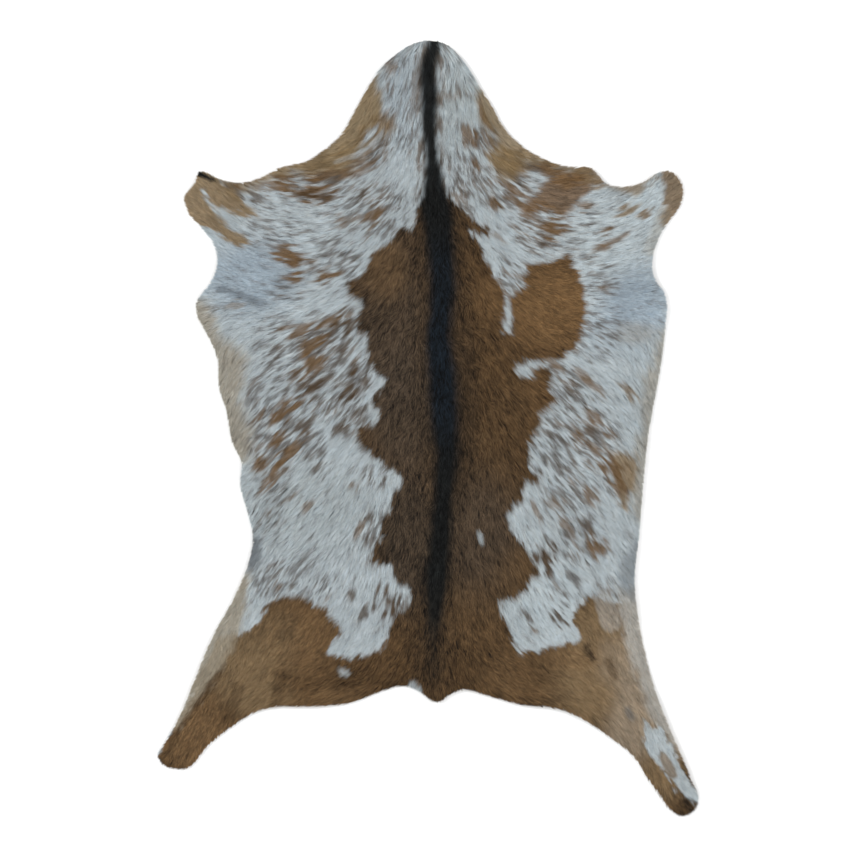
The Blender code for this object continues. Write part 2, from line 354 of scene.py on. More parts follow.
# Single spots in the white, each an oval along the hair.
# Columns: down, out, length, width, colour, share.
SPOTS = [
    (34, -55, 12, 12, "hip", 0.7),
    (60, -26, 62, 14, "fringe", 0.5),
    (67, 8, 6, 36, "hip", 0.6),
    (75, 50, 12, 10, "russet", 0.6),
    (96, -72, 18, 14, "hip", 0.6),
    (98, -58, 22, 14, "hip", 0.6),
    (130, -100, 60, 14, "bark", 0.6),
    (134, -84, 30, 10, "hip", 0.6),
    (116, 38, 24, 17, "hip", 0.85),
    (134, 82, 40, 12, "bark", 0.8),
    (94, 56, 30, 10, "hip", 0.85),
    (150, 45, 18, 12, "hip", 0.8),
    (148, 82, 40, 19, "bark", 0.85),
    (182, 90, 40, 15, "hip", 0.85),
    (167, 152, 34, 18, "hip", 0.85),
    (168, 182, 20, 12, "hip", 0.8),
    (203, 106, 18, 12, "hip", 0.8),
    (236, 72, 18, 7, "hip", 0.5),
    (182, -150, 40, 24, "russet", 0.95),
    (186, -156, 30, 10, "saddle", 0.9),
    (156, 138, 26, 20, "hip", 0.85),
    (168, -180, 26, 15, "hip", 0.9),
    (176, -240, 24, 10, "hip", 0.7),
    (176, -170, 30, 12, "hip", 0.8),
    (174, -188, 24, 13, "hip", 0.8),
    (120, -74, 24, 12, "white", 0.6),
    (112, -80, 24, 7, "white", 0.7),
    (127, -92, 28, 8, "white", 0.7),
    (140, -106, 30, 7, "white", 0.6),
    (152, -84, 30, 13, "hip", 0.7),
    (160, -118, 34, 12, "hip", 0.7),
    (188, -137, 20, 12, "saddle", 0.8),
    (197, 70, 16, 20, "hip", 0.85),
    (201, 178, 17, 10, "hip", 0.8),
    (206, 226, 22, 12, "tan", 0.9),
    (212, -76, 24, 19, "hip", 0.9),
    (209, 250, 18, 9, "bark", 0.9),
    (215, -114, 12, 10, "hip", 0.7),
    (227, 139, 24, 20, "hip", 1.0),
    (228, 205, 18, 13, "hip", 1.0),
    (240, 212, 30, 10, "hip", 0.8),
    (251, 191, 22, 9, "hip", 0.8),
    (262, -172, 40, 24, "hip", 1.0),
    (266, -168, 20, 14, "hip", 0.85),
    (282, -132, 24, 17, "hip", 1.0),
    (283, 196, 14, 7, "fleck", 0.6),
    (283, -173, 20, 13, "hip", 1.0),
    (298, 202, 17, 8, "hip", 0.5),
    (319, -242, 17, 12, "bark", 0.5),
    (326, -110, 20, 8, "saddle", 0.6),
    (337, -130, 34, 15, "hip", 0.9),
    (342, -104, 30, 11, "saddle", 0.8),
    (351, -124, 34, 13, "saddle", 0.9),
    (367, -148, 38, 15, "hip", 0.85),
    (346, -182, 18, 9, "hip", 0.6),
    (352, -162, 24, 14, "hip", 0.85),
    (389, -152, 38, 17, "hip", 0.95),
    (400, -166, 20, 9, "saddle", 0.7),
    (388, 140, 22, 10, "hip", 0.7),
    (394, -98, 22, 11, "saddle", 0.7),
    (404, 176, 26, 10, "hip", 0.6),
    (415, 186, 30, 12, "hip", 0.7),
    (418, -105, 36, 20, "saddle", 0.9),
    (419, -130, 20, 12, "white", 0.7),
    (421, -152, 34, 16, "saddle", 0.85),
    (433, -160, 20, 8, "hip", 0.7),
    (423, 230, 24, 14, "bark", 0.8),
    (446, -183, 34, 17, "hip", 0.95),
    (454, -213, 20, 12, "hip", 0.7),
    (454, 189, 20, 12, "hip", 0.8),
    (464, -158, 28, 14, "saddle", 0.9),
    (467, -119, 20, 8, "saddle", 0.7),
    (470, -110, 14, 10, "saddle", 0.8),
    (475, 168, 19, 9, "hip", 0.8),
    (475, 208, 14, 14, "hip", 0.8),
    (483, -196, 26, 14, "hip", 0.95),
    (491, -176, 38, 17, "hip", 0.95),
    (493, 186, 24, 10, "hip", 0.7),
    (494, -138, 20, 11, "fleck", 0.8),
    (511, 214, 32, 16, "hip", 0.9),
    (516, 202, 30, 13, "hip", 0.9),
    (512, -144, 15, 11, "saddle", 0.75),
    (508, -211, 18, 12, "hip", 0.95),
    (523, -196, 38, 13, "hip", 0.9),
    (535, -101, 14, 11, "hip", 0.7),
    (534, 216, 26, 12, "hip", 0.8),
    (547, 184, 24, 14, "hip", 0.8),
    (551, -178, 16, 8, "hip", 0.7),
    (553, 136, 22, 10, "hip", 0.5),
    (559, -156, 14, 9, "hip", 0.7),
    (566, 118, 22, 8, "hip", 0.7),
    (577, 154, 16, 13, "hip", 0.7),
    (580, 180, 26, 15, "saddle", 0.85),
    (587, -94, 22, 10, "hip", 0.6),
    (609, 192, 26, 18, "hip", 0.95),
    (628, -164, 34, 8, "fleck", 0.6),
    (619, 129, 36, 29, "saddle", 1.0),
    (648, 165, 20, 10, "fleck", 0.8),
    (655, -190, 12, 10, "hip", 0.7),
    (658, 142, 12, 7, "hip", 0.6),
    (666, -103, 12, 9, "saddle", 0.8),
    (668, -132, 8, 7, "hip", 0.6),
    (674, -57, 38, 29, "saddle", 1.0),
    (686, -88, 16, 10, "saddle", 0.8),
    (694, 108, 19, 9, "saddle", 0.8),
    (697, 147, 22, 11, "saddle", 0.9),
    (710, 117, 11, 7, "hip", 0.8),
]

# Single marks over the patches, each a stroke between two places. Some are painted shade of creases
# and folds, as noted beside them.
# Columns: start down, start out, end down, end out, width, colour, share.
MARKS = [
    (160, -289, 169, -267, 6.5, "black", 1.0),
    (170, -262, 172, -243, 4, "slate", 0.5),
    (188, -279, 214, -261, 4, "white", 0.5),
    (208, 272, 252, 256, 16, "beige", 0.35),
    # Painted shade: the next two slate strokes stand for the shade in the left armpit's crease.
    (298, -262, 306, -238, 8, "slate", 0.45),
    (306, -238, 318, -208, 9, "slate", 0.5),
    (592, 51, 602, 52, 5, "white", 0.8),
    (672, 200, 700, 208, 22, "pale", 0.45),
    # Painted shade: a blurred dark spot of shade in a fold of the left hip.
    (700, -178, 712, -182, 22, "dark", 0.35),
    (728, 180, 742, 186, 8, "dark", 0.7),
    (748, 206, 764, 212, 12, "saddle", 0.5),
    (757, -115, 761, -108, 8, "white", 0.8),
    # Painted shade: the next three strokes stand for the shade of folds on the left thigh and along
    # the left hind leg's outer edge.
    (762, -188, 796, -192, 16, "saddle", 0.5),
    (780, -240, 814, -252, 16, "saddle", 0.4),
    (752, -256, 838, -316, 8, "saddle", 0.6),
    (774, -30, 782, -22, 9, "white", 0.8),
    (804, 228, 812, 232, 8, "slate", 0.5),
    (859, 270, 880, 283, 9, "bark", 0.75),
    (868, 296, 906, 314, 4, "dark", 0.5),
    (912, 300, 926, 304, 8, "dark", 0.7),
]

# The black stripe down the back.
# Columns: down, out to its middle, half width, softness of its edge in mm, share.
STRIPE = [
    (0, -1.5, 9, 4, 1.0), (8, -3, 9, 4, 1.0), (20, -8, 9, 5, 1.0), (31, -10.8, 9.5, 5, 1.0),
    (45, -10.8, 10, 5, 1.0), (60, -9, 10.5, 5, 1.0), (80, -9, 10, 5, 1.0), (103, -9.8, 9, 5, 1.0),
    (121, -8, 8.5, 6, 1.0), (139, -6.8, 9, 6, 1.0), (157, -4.6, 10.5, 6, 1.0),
    (175, -4, 13.5, 6, 1.0), (190, -2.5, 17, 7, 1.0), (205, -0.5, 19, 7, 1.0),
    (220, 1.5, 18.5, 8, 1.0), (250, 4, 16.5, 9, 1.0), (295, 7.5, 15.5, 9, 1.0),
    (325, 5, 14.5, 9, 1.0), (355, 1, 15, 9, 1.0), (403, 6, 17, 9, 1.0), (451, 8, 17, 9, 1.0),
    (499, 12, 14, 9, 1.0), (547, 7, 12, 8, 1.0), (595, 4, 13, 8, 1.0), (643, -1, 16, 9, 1.0),
    (691, -3, 10, 8, 0.95), (727, -6, 8, 8, 0.5), (757, -4, 7, 8, 0.35), (796, 0, 4, 6, 0.0),
]

# How the parts of the pattern meet. Reaches and softness are in mm; covers are the largest
# shares of the hair that the stripe, the dark hair and the fringe beside it, and a spot take.
FRINGE_REACH = 10
FRINGE_STREAKS = (0.15, 0.75)
HALO_REACH = (-5, 30)
RAGGED_REACH = 8.0
EDGE_HAIR = 0.3
MARK_SOFTNESS = 2.0
STRIPE_COVER = 0.985
HALO_COVER = 0.55
FRINGE_COVER = 0.8
SPOT_COVER = 0.95
SPOT_RIM = (0.6, 1.3)
LIGHT_TONES = ("white", "pale", "grey", "beige", "slate")

# How far borders are moved in mm by clouds, by the locks' streaks, and by the lock's and the
# strand's own draw, and how much of that the fringe, the stripe and the marks take. A spot's
# border is moved by a share of its half sizes.
CLOUD_RAGGED = 2.0
STREAK_RAGGED = 5.0
LOCK_RAGGED = 0.8
STRAND_RAGGED = 1.2
FRINGE_RAGGED = 1.5
STRIPE_RAGGED = 0.4
MARK_RAGGED = 0.5
SPOT_RAGGED = 0.7

# Where a soft oval starts to show and where it is full, as shares of its Gaussian
TONE_OVAL = (0.05, 0.85)
FLECK_OVAL = (0.1, 0.9)
LENGTH_OVAL = (0.1, 0.8)

# How the flecks change: how far clouds and the strand's draw move them, how soft they are,
# where they turn from grey to brown, and how much of the hair they take. Pairs are limits, or
# a share and what is added to it.
FINE_CLOUDED = 0.35
BROAD_CLOUDED = 0.55
FINE_DRAWN = 0.12
BROAD_DRAWN = 0.10
FINE_SOFTNESS = 0.18
BROAD_SOFTNESS = (0.15, 0.18)
TURN_BROWN = (-0.5, 0.9)
BROAD_BROWN = (0.2, 0.6)
FINE_COVER = (0.25, 0.45)
FULLY_FLECKED = (0.04, 0.24)
BROAD_COVER = 0.77

# Noise over the hide: random values on a lattice of so many cells, from a start that keeps the
# spine off its lines. Streaks are evened over a few places along the hair.
LATTICE = 256
LATTICE_START = 40.5
STREAK_PLACES = 7
STREAK_SPREAD = 0.8

# Streaks along the hair: cell and reach in mm, seed.
LOCK_STREAKS = (3.4, 6, 14)
FINE_FLECKS = (2.2, 3.4, 15)
BROAD_FLECKS = (4.3, 4.8, 18)
FINE_GRAIN = (2.2, 4, 16)
BROAD_GRAIN = (5.0, 9, 17)

# Clouds: cell in mm, seed.
WIDE_CLOUDS = (45, 11)
FLECK_CLOUDS = (17, 12)
BORDER_CLOUDS = (9, 13)
WARM_CLOUDS = (13, 19)
BODY_WAVES = (26, 21)
RUFFLE_CLOUDS = (8, 22)
BROWN_CLOUDS = (24, 31)
SMALL_BROWN_CLOUDS = (9, 32)
CURLS = (2.3, 33)

# How far the noise lightens and darkens the whole coat, the brown and the black.
# Columns: fine streaks, broad streaks, curls, the strand's own draw, wide clouds.
COAT_GRAIN = np.array([0.09, 0.08, 0, 0, 0.06])
# Partly painted shade: the brown's darker strands stand for the shade in the gaps between its
# locks, beside its own grain and lighter tips.
BROWN_GRAIN_AND_SHADE = np.array([0.40, 0.10, 0.30, 0.70, 0])
# Partly painted sheen: the black's lighter strands stand for the stripe's thin highlights, beside
# its own grain.
BLACK_GRAIN_AND_SHEEN = np.array([0.30, 0, 0.20, 0.60, 0])

# The brightness of brown whose grain is as given: darker brown has more of it and lighter brown
# less, within limits. Then how far the wide and the small brown clouds lighten and darken it.
GRAINY_BROWN = 0.042
GRAIN_LIMITS = (0.3, 1.2)
BROWN_CLOUDED = 0.09
BROWN_CLOUDED_FINELY = 0.07

# The undercoat between the strands: its share of the coat's colour, and the seed of its draws
UNDERCOAT_SHADE = 0.9
UNDERCOAT_SEED = 3

# The flesh side's darkest clouds, as a share of its colour
CLOUDED = 0.62

# How the hair differs by chance: from lock to lock and from strand to strand. Turns and rolls
# are in radians, overshoot past the edge in mm, and the rest in shares.
LOCK_TURN = 0.09
LOCK_LENGTHS = (0.85, 1.15)
LOCK_LIFTS = (0.88, 1.12)
LOCK_SHADE = 0.05
LOCK_ROLL = 0.25
STRAND_LENGTHS = (0.9, 1.1)
STRAND_SHADE = 0.03
ROLL = 0.25
OVERSHOOT = 0.9
WARMTH = 0.02

# How far soft waves turn the hair: in radians over the whole body, and as so many times the
# ruffle that a place has beyond the body's.
BODY_WAVE = 0.16
RUFFLE_WAVE = 4

# Hair of SHORT_HAIR or less has the least shag, and hair as long as the body's has all of it.
# Lengths are in mm. TIPS_MEET is how much shorter a strand is for each mm along its lock.
SHORT_HAIR = 7.0
LEAST_SHAG = 0.35
LEAST_LENGTH = 6.0
TIPS_MEET = 0.35

# Near the edge: the share of the root inset that is kept everywhere and the share that outward
# hair adds, how far in mm the full turn outwards reaches, how strong it is, and the least share
# of a strand that is left where it is cut short.
ROOT_INSETS = (0.55, 0.45)
EDGE_BAND = 3
EDGE_TURN = 0.45
LEAST_ROOM = 0.25

# How far a strand is drawn to its lock's middle at the tip, as a share of the way: its line,
# and the places where its colours are read.
LINE_PULL = 0.4
COLOUR_PULL = 0.2

# The root's height in mm, the power that a strand rises with, and the dome of a lock: its
# height in mm, its least share beside the lock, and the share of a strand where it is full.
ROOT_HEIGHT = 1.4
RISE_POWER = 0.7
LOCK_DOME = 0.35
DOME_LEAST = -0.5
DOME_REACH = 0.7

# A strand's sections and their widths, as shares, and where along it its three colours lie
SECTIONS = np.array([0.0, 0.5, 1.0])
SECTION_WIDTHS = np.array([0.85, 1.0])
SHOWN = (0.15, 0.5, 0.9)

# A ribbon is a quad and a triangle: its corners' points, where its faces start, and how far
# across and along it each corner lies. In its small square it keeps a margin, as a share.
RIBBON_POINTS = 5
RIBBON_CORNERS = np.array([0, 1, 3, 2, 2, 3, 4])
RIBBON_STARTS = np.array([0, 4])
CORNER_PLACES = np.array([(0, 0), (1, 0), (1, 0.5), (0, 0.5), (0, 0.5), (1, 0.5), (0.5, 1)])
SQUARE_MARGIN = 0.15

# The pieces of hair from left to right, with as many strands in each
HAIR_PIECES = (
    "hair_left_belly", "hair_left_side", "hair_back", "hair_right_side", "hair_right_belly",
)

# Soft creases of the skin beside the solid's own folds, in mm; a trough is below zero.
# Columns: place, start down, start out, end down, end out, half width, height.
CREASES = [
    ("left armpit", 280, -262, 300, -190, 7, 1.2),
    ("left armpit, lower", 296, -258, 306, -205, 6, -0.8),
    ("right armpit", 292, 258, 300, 205, 7, 1.2),
    ("left elbow", 345, -280, 352, -235, 8, -0.9),
    ("right elbow", 352, 268, 345, 230, 8, -0.8),
    ("left groin", 612, -215, 640, -170, 9, -0.9),
    ("right groin", 640, 228, 660, 185, 9, -0.9),
    ("left thigh", 740, -262, 790, -235, 9, 1.0),
    ("right thigh", 770, 240, 815, 225, 9, 1.0),
    ("neck, across", 95, -70, 88, 55, 12, 1.0),
    ("tail", 770, -3, 796, 0, 8, 1.2),
]

# The stage, with lengths in metres: the floor, the sky's light, and the photo's width, which is
# its pixels at a pixel's size.
FLOOR_SIZE = 30
FLOOR_GAP = 0.0004
FLOOR_COLOUR = (0.85, 0.85, 0.85, 1)
SKY_COLOUR = (0.97, 0.985, 1.0, 1)
SKY_STRENGTH = 0.75
PHOTO_PIXELS = 856
PIXEL_SIZE = 0.0012
VIEW_WIDTH = PHOTO_PIXELS * PIXEL_SIZE

# The camera's sensor and its long lens in mm, and the lights. Columns: name, place in metres,
# power in watts.
SENSOR_WIDTH = 36
LENS = 200
LIGHT_SIZE = 1.8
LIGHTS = [
    ("left softbox", (-2.2, 1.0, 2.4), 75),
    ("right softbox", (2.3, 0.6, 2.4), 50),
    ("foot softbox", (0.2, -2.4, 2.2), 25),
]


def display(red, green, blue):
    """The scene-linear colour of a display colour given as three numbers from 0 to 255."""
    share = np.array((red, green, blue)) / 255
    linear = np.where(share <= 0.04045, share / 12.92, ((share + 0.055) / 1.055) ** 2.4)
    return tuple(float(v) for v in linear)


def colour(name, description, default):
    """A setting for a colour."""
    return FloatVectorProperty(
        name=name, description=description, default=default, subtype="COLOR", min=0, max=1
    )


def length(name, description, default):
    """A setting for a length in metres."""
    return FloatProperty(
        name=name, description=description, default=default, subtype="DISTANCE", unit="LENGTH"
    )


class SkinSettings(bpy.types.PropertyGroup):
    """Sizes of the tanned skin and the colour of its flesh side"""

    thickness: length("Thickness", "Thickness of the tanned skin", 0.0017)
    edge_thickness: length("Edge thickness", "Thickness of the skin at its edge", 0.0010)
    inset: length("Inset", "How far the skin ends inside the outermost hair", 0.0018)
    step: length("Step", "Spacing of the skin's grid", 0.004)
    flesh: colour("Flesh side", "Colour of the suede on the underside", display(206, 190, 164))


class HairSettings(bpy.types.PropertyGroup):
    """Sizes of the hair and how it lies"""

    strand_spacing: length("Strand spacing", "Distance between the hair's roots", 0.00111)
    strand_width: length("Strand width", "Width of a strand where it is widest", 0.00076)
    body_length: length("Body length", "Length of the hair on the body", 0.017)
    lock_spacing: length("Lock spacing", "Distance between the locks", 0.0050)
    root_inset: length("Root inset", "How far from the edge the first roots are", 0.0040)
    flare: length("Flare", "How near the edge the hair turns outwards", 0.012)
    ruffle: FloatProperty(
        name="Ruffle", description="How far strands turn from the lay, in radians", default=0.09
    )
    lie: FloatProperty(
        name="Lie", description="Height of a tip beside the hair's length", default=0.24
    )
    seed: IntProperty(name="Seed", description="Start of the random draws", default=7)


class CoatSettings(bpy.types.PropertyGroup):
    """Colours of the coat's pattern"""

    white: colour("White", "White hair", display(166, 174, 177))
    bright: colour("Bright white", "The whitest hair", display(177, 186, 189))
    # Partly painted shade: in the armpits this bluish white stands for the shade of their folds as
    # well as for thin bluish hair.
    cool: colour("Cool white", "Thin bluish hair in the armpits", display(141, 154, 164))
    cream: colour("Cream", "Warm white hair", display(160, 168, 169))
    pale: colour("Pale", "Thin greyish hair on the right thigh", display(160, 157, 150))
    grey: colour("Grey", "Thin grey hair along the right belly", display(150, 146, 136))
    beige: colour("Beige", "Thin hair along the left belly", display(146, 137, 120))
    tan: colour("Tan", "Light brown hair", display(128, 109, 82))
    gold: colour("Golden tan", "Light brown hair beside the neck", display(131, 110, 76))
    fawn: colour("Fawn", "Pale brown hair on the right thigh", display(139, 124, 105))
    bark: colour("Bark", "Light brown hair on the hind legs", display(116, 96, 70))
    hip: colour("Hip brown", "Mid brown hair", display(103, 80, 54))
    russet: colour("Russet", "Reddish brown hair", display(104, 79, 51))
    saddle: colour("Saddle brown", "Dark brown hair", display(72, 54, 34))
    umber: colour("Umber", "Dull brown hair left of the stripe", display(63, 53, 43))
    dun: colour("Dun", "Greyish brown hair right of the stripe", display(70, 58, 46))
    dark: colour("Deep brown", "The darkest brown hair", display(46, 36, 25))
    fleck: colour("Fleck", "Grey brown hair in the white", display(84, 77, 71))
    fringe: colour("Fringe", "Greyish brown hair beside the stripe", display(92, 76, 60))
    # Partly painted shade: in the left armpit's crease and at the groins, where the edge curls
    # under, this colour stands for shade as well as for dark skin showing through thin hair.
    slate: colour("Slate", "Dark skin showing through thin hair", display(84, 88, 92))
    black: colour("Black", "The stripe down the back", display(13, 15, 15))
    # Painted sheen: this bluish black stands for the sky's reflection along the stripe's middle,
    # not for hair of another colour.
    navy: colour("Bluish black", "Bluish hair along the stripe's middle", display(11, 19, 26))


def settings_of(group):
    """A group's settings by name, its lengths in mm."""
    values = {name: getattr(group, name) for name in group.__annotations__}
    kinds = group.bl_rna.properties
    lengths = {name: values[name] / MM for name in values if kinds[name].unit == "LENGTH"}
    return SimpleNamespace(**{**values, **lengths})


# Values over the hide


def hide_grid(step, margin=0):
    """Places out and down on a square grid over the hide and a margin around it."""
    outs = np.arange(LEFT_END - margin, LEFT_END + HIDE_WIDTH + margin, step)
    downs = np.arange(-margin, HIDE_LENGTH + margin, step)
    return np.meshgrid(outs, downs)


class Chart:
    """A function of out and down, worked out on a square grid over the hide and a margin, and
    read between the grid's places with a bilinear mix."""

    def __init__(self, function, step):
        out, down = hide_grid(step, CHART_MARGIN)
        self.values = function(out, down)
        self.start = out[0, 0], down[0, 0]
        self.step = step

    def __call__(self, out, down):
        rows, columns = self.values.shape
        across = np.clip((out - self.start[0]) / self.step, 0, columns - 1 - TINY)
        along = np.clip((down - self.start[1]) / self.step, 0, rows - 1 - TINY)
        i = along.astype(int)
        j = across.astype(int)
        s = along - i
        t = across - j
        upper = self.values[i, j] * (1 - t) + self.values[i, j + 1] * t
        lower = self.values[i + 1, j] * (1 - t) + self.values[i + 1, j + 1] * t
        return upper * (1 - s) + lower * s


def ease(value, low, high):
    """A smooth step: 0 below low, 1 above high, and 3t^2 - 2t^3 between them."""
    t = np.clip((value - low) / (high - low), 0, 1)
    return t * t * (3 - 2 * t)


def value_noise(out, down, cell, seed):
    """Smooth noise from -1 to 1: random values on a lattice with the given cell in mm, mixed
    between its points with an eased step in both directions."""
    lattice = np.random.default_rng(seed).uniform(-1, 1, (LATTICE, LATTICE))
    u = out / cell + LATTICE_START
    v = down / cell + LATTICE_START
    i = np.floor(u).astype(int)
    j = np.floor(v).astype(int)
    s = ease(u - i, 0, 1)
    t = ease(v - j, 0, 1)
    i0, j0, i1, j1 = i % LATTICE, j % LATTICE, (i + 1) % LATTICE, (j + 1) % LATTICE
    near = lattice[i0, j0] * (1 - s) + lattice[i1, j0] * s
    far = lattice[i0, j1] * (1 - s) + lattice[i1, j1] * s
    return near * (1 - t) + far * t


def streaks(out, down, cell, reach, seed):
    """Noise drawn out along the hair, from 0 to 1 and about evenly spread: the mean of the
    value noise at several places along the lay, up to the reach each way, through a tanh."""
    way_out, way_down = lay_direction(out, down)
    total = np.zeros(out.shape)
    for step in np.linspace(-reach, reach, STREAK_PLACES):
        total += value_noise(out + step * way_out, down + step * way_down, cell, seed)
    return 0.5 + 0.5 * np.tanh(STREAK_SPREAD * total / total.std())


def off_line(out, down, out_0, down_0, out_1, down_1):
    """The way from the nearest place on a line between two places, as out and down parts."""
    run_out, run_down = out_1 - out_0, down_1 - down_0
    along = (out - out_0) * run_out + (down - down_0) * run_down
    along = np.clip(along / (run_out**2 + run_down**2), 0, 1)
    return out - out_0 - along * run_out, down - down_0 - along * run_down


def depth_inside(sides, out, down):
    """The distance to the nearest side of a closed outline, above zero inside it. A place is
    inside where a line from it along the hide's width crosses an odd number of sides."""
    nearest = np.full(np.shape(out), np.inf)
    inside = np.zeros(np.shape(out), bool)
    for out_0, down_0, out_1, down_1 in sides:
        gap_out, gap_down = off_line(out, down, out_0, down_0, out_1, down_1)
        nearest = np.minimum(nearest, gap_out**2 + gap_down**2)
        crosses = (down_0 > down) != (down_1 > down)
        meets = out_0 + (down - down_0) * (out_1 - out_0) / ((down_1 - down_0) or 1.0)
        inside ^= crosses & (out < meets)
    return np.where(inside, 1, -1) * np.sqrt(nearest)


def sides_of(places):
    """The sides of an outline given as places (down, out): out and down at both ends."""
    ends = np.array(places, float)[:, ::-1]
    return np.hstack([ends, np.roll(ends, -1, axis=0)])


def blob(out, down, middle_down, middle_out, half_length, half_width):
    """A soft oval: 1 in its middle, falling off as a Gaussian to 0.37 at its half sizes."""
    along = (down - middle_down) / half_length
    across = (out - middle_out) / half_width
    return np.exp(-(along**2) - across**2)


def on_hide(points):
    """The places out and down of points in the model's X and Y."""
    return np.column_stack([(points[:, 0] - SPINE_X) / MM, (NECK_Y - points[:, 1]) / MM])


@lru_cache(maxsize=1)
def solid_underside():
    """The underside of the hide's solid: its points (out, down, height) and its edge's sides.
    The edge is every side that only one of the faces that look down has."""
    bm = bmesh.new()
    bm.from_mesh(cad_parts[NODE].data)
    bmesh.ops.remove_doubles(bm, verts=bm.verts, dist=0.00001)
    bm.normal_update()
    under = {face for face in bm.faces if face.normal.z < -0.5}
    points = [vert.co[:] for vert in bm.verts if any(f in under for f in vert.link_faces)]
    rims = [e for e in bm.edges if sum(f in under for f in e.link_faces) == 1]
    ends = np.array([(*e.verts[0].co[:2], *e.verts[1].co[:2]) for e in rims])
    bm.free()
    points = np.array(points)
    sides = np.hstack([on_hide(ends[:, :2]), on_hide(ends[:, 2:])])
    return np.column_stack([on_hide(points), points[:, 2] / MM]), sides


@lru_cache(maxsize=1)
def edge_depth():
    """Chart of the distance to the hide's edge in mm, above zero on the hide."""
    _, sides = solid_underside()
    return Chart(lambda out, down: depth_inside(sides, out, down), DEPTH_STEP)


@lru_cache(maxsize=1)
def floor_lift():
    """Chart of how far the skin is off the floor in mm: the solid's underside, averaged with a
    Gaussian weight, and the creases."""
    points, _ = solid_underside()

    def height(out, down):
        total = np.zeros(out.shape)
        weights = np.full(out.shape, 1e-9)
        for point_out, point_down, point_height in points:
            away = (out - point_out) ** 2 + (down - point_down) ** 2
            weight = np.exp(-away / (2 * LIFT_REACH**2))
            total += weight * point_height
            weights += weight
        return np.maximum(total / weights + creases(out, down), 0)

    return Chart(height, LIFT_STEP)


def creases(out, down):
    """The sum of the creases, each a Gaussian ridge or trough across its line."""
    total = np.zeros(out.shape)
    for _, down_0, out_0, down_1, out_1, half_width, height in CREASES:
        away = np.hypot(*off_line(out, down, out_0, down_0, out_1, down_1))
        total += height * np.exp(-((away / half_width) ** 2))
    return total


def outward(out, down):
    """The direction in which the edge is nearest: the depth chart's slope, turned round."""
    depth = edge_depth()
    slope_out = depth(out + DEPTH_STEP, down) - depth(out - DEPTH_STEP, down)
    slope_down = depth(out, down + DEPTH_STEP) - depth(out, down - DEPTH_STEP)
    size = np.hypot(slope_out, slope_down) + 1e-6
    return -slope_out / size, -slope_down / size


def lay_direction(out, down):
    """The way the hair lies, as out and down parts: the angles of LAY, mixed in both
    directions, and turned to the side of the spine that the place is on."""
    out, down = np.atleast_1d(out, down)
    downs = [row[1] for row in LAY]
    angles = np.array([row[2:] for row in LAY], float)
    columns = np.array([np.interp(down, downs, angles[:, k]) for k in range(len(LAY_OUT))])
    away = np.clip(np.abs(out), 0, LAY_OUT[-1] - TINY)
    k = np.searchsorted(LAY_OUT, away, side="right") - 1
    share = (away - np.take(LAY_OUT, k)) / np.take(np.diff(LAY_OUT), k)
    every = np.arange(out.size)
    angle = columns[k, every] * (1 - share) + columns[k + 1, every] * share
    turn = np.radians(angle) * np.sign(out)
    return np.sin(turn), np.cos(turn)


def turned(direction, angle):
    """A direction turned by an angle in radians."""
    out, down = direction
    return out * np.cos(angle) - down * np.sin(angle), out * np.sin(angle) + down * np.cos(angle)


# The coat's pattern


def mix(base, other, share):
    """A share of another colour in each of the colours."""
    return base + (other - base) * share[:, None]


def toned(base, out, down, tones, palette):
    """A colour changed by soft ovals of other colours."""
    for _, *place, tone, share in tones:
        part = ease(blob(out, down, *place), *TONE_OVAL)
        base = mix(base, palette[tone], share * part)
    return base


def spotted(base, out, down, draw, palette):
    """A colour with the single spots painted over it. A spot is an oval along the hair, and
    the streaks' draw moves its border in or out."""
    for middle_down, middle_out, long, wide, tone, share in SPOTS:
        way_out, way_down = lay_direction(middle_out, middle_down)
        far_out, far_down = out - middle_out, down - middle_down
        along = (far_out * way_out + far_down * way_down) / (long / 2)
        across = (far_out * way_down - far_down * way_out) / (wide / 2)
        reach = np.hypot(along, across) + SPOT_RAGGED * draw
        base = mix(base, palette[tone], SPOT_COVER * share * (1 - ease(reach, *SPOT_RIM)))
    return base


def marked(base, out, down, ragged, palette):
    """A colour with the marks over it: within half a mark's width of its line."""
    for down_0, out_0, down_1, out_1, width, tone, share in MARKS:
        away = np.hypot(*off_line(out, down, out_0, down_0, out_1, down_1))
        away = away + MARK_RAGGED * ragged
        outside = ease(away, width / 2 - MARK_SOFTNESS, width / 2 + MARK_SOFTNESS)
        base = mix(base, palette[tone], share * (1 - outside))
    return base


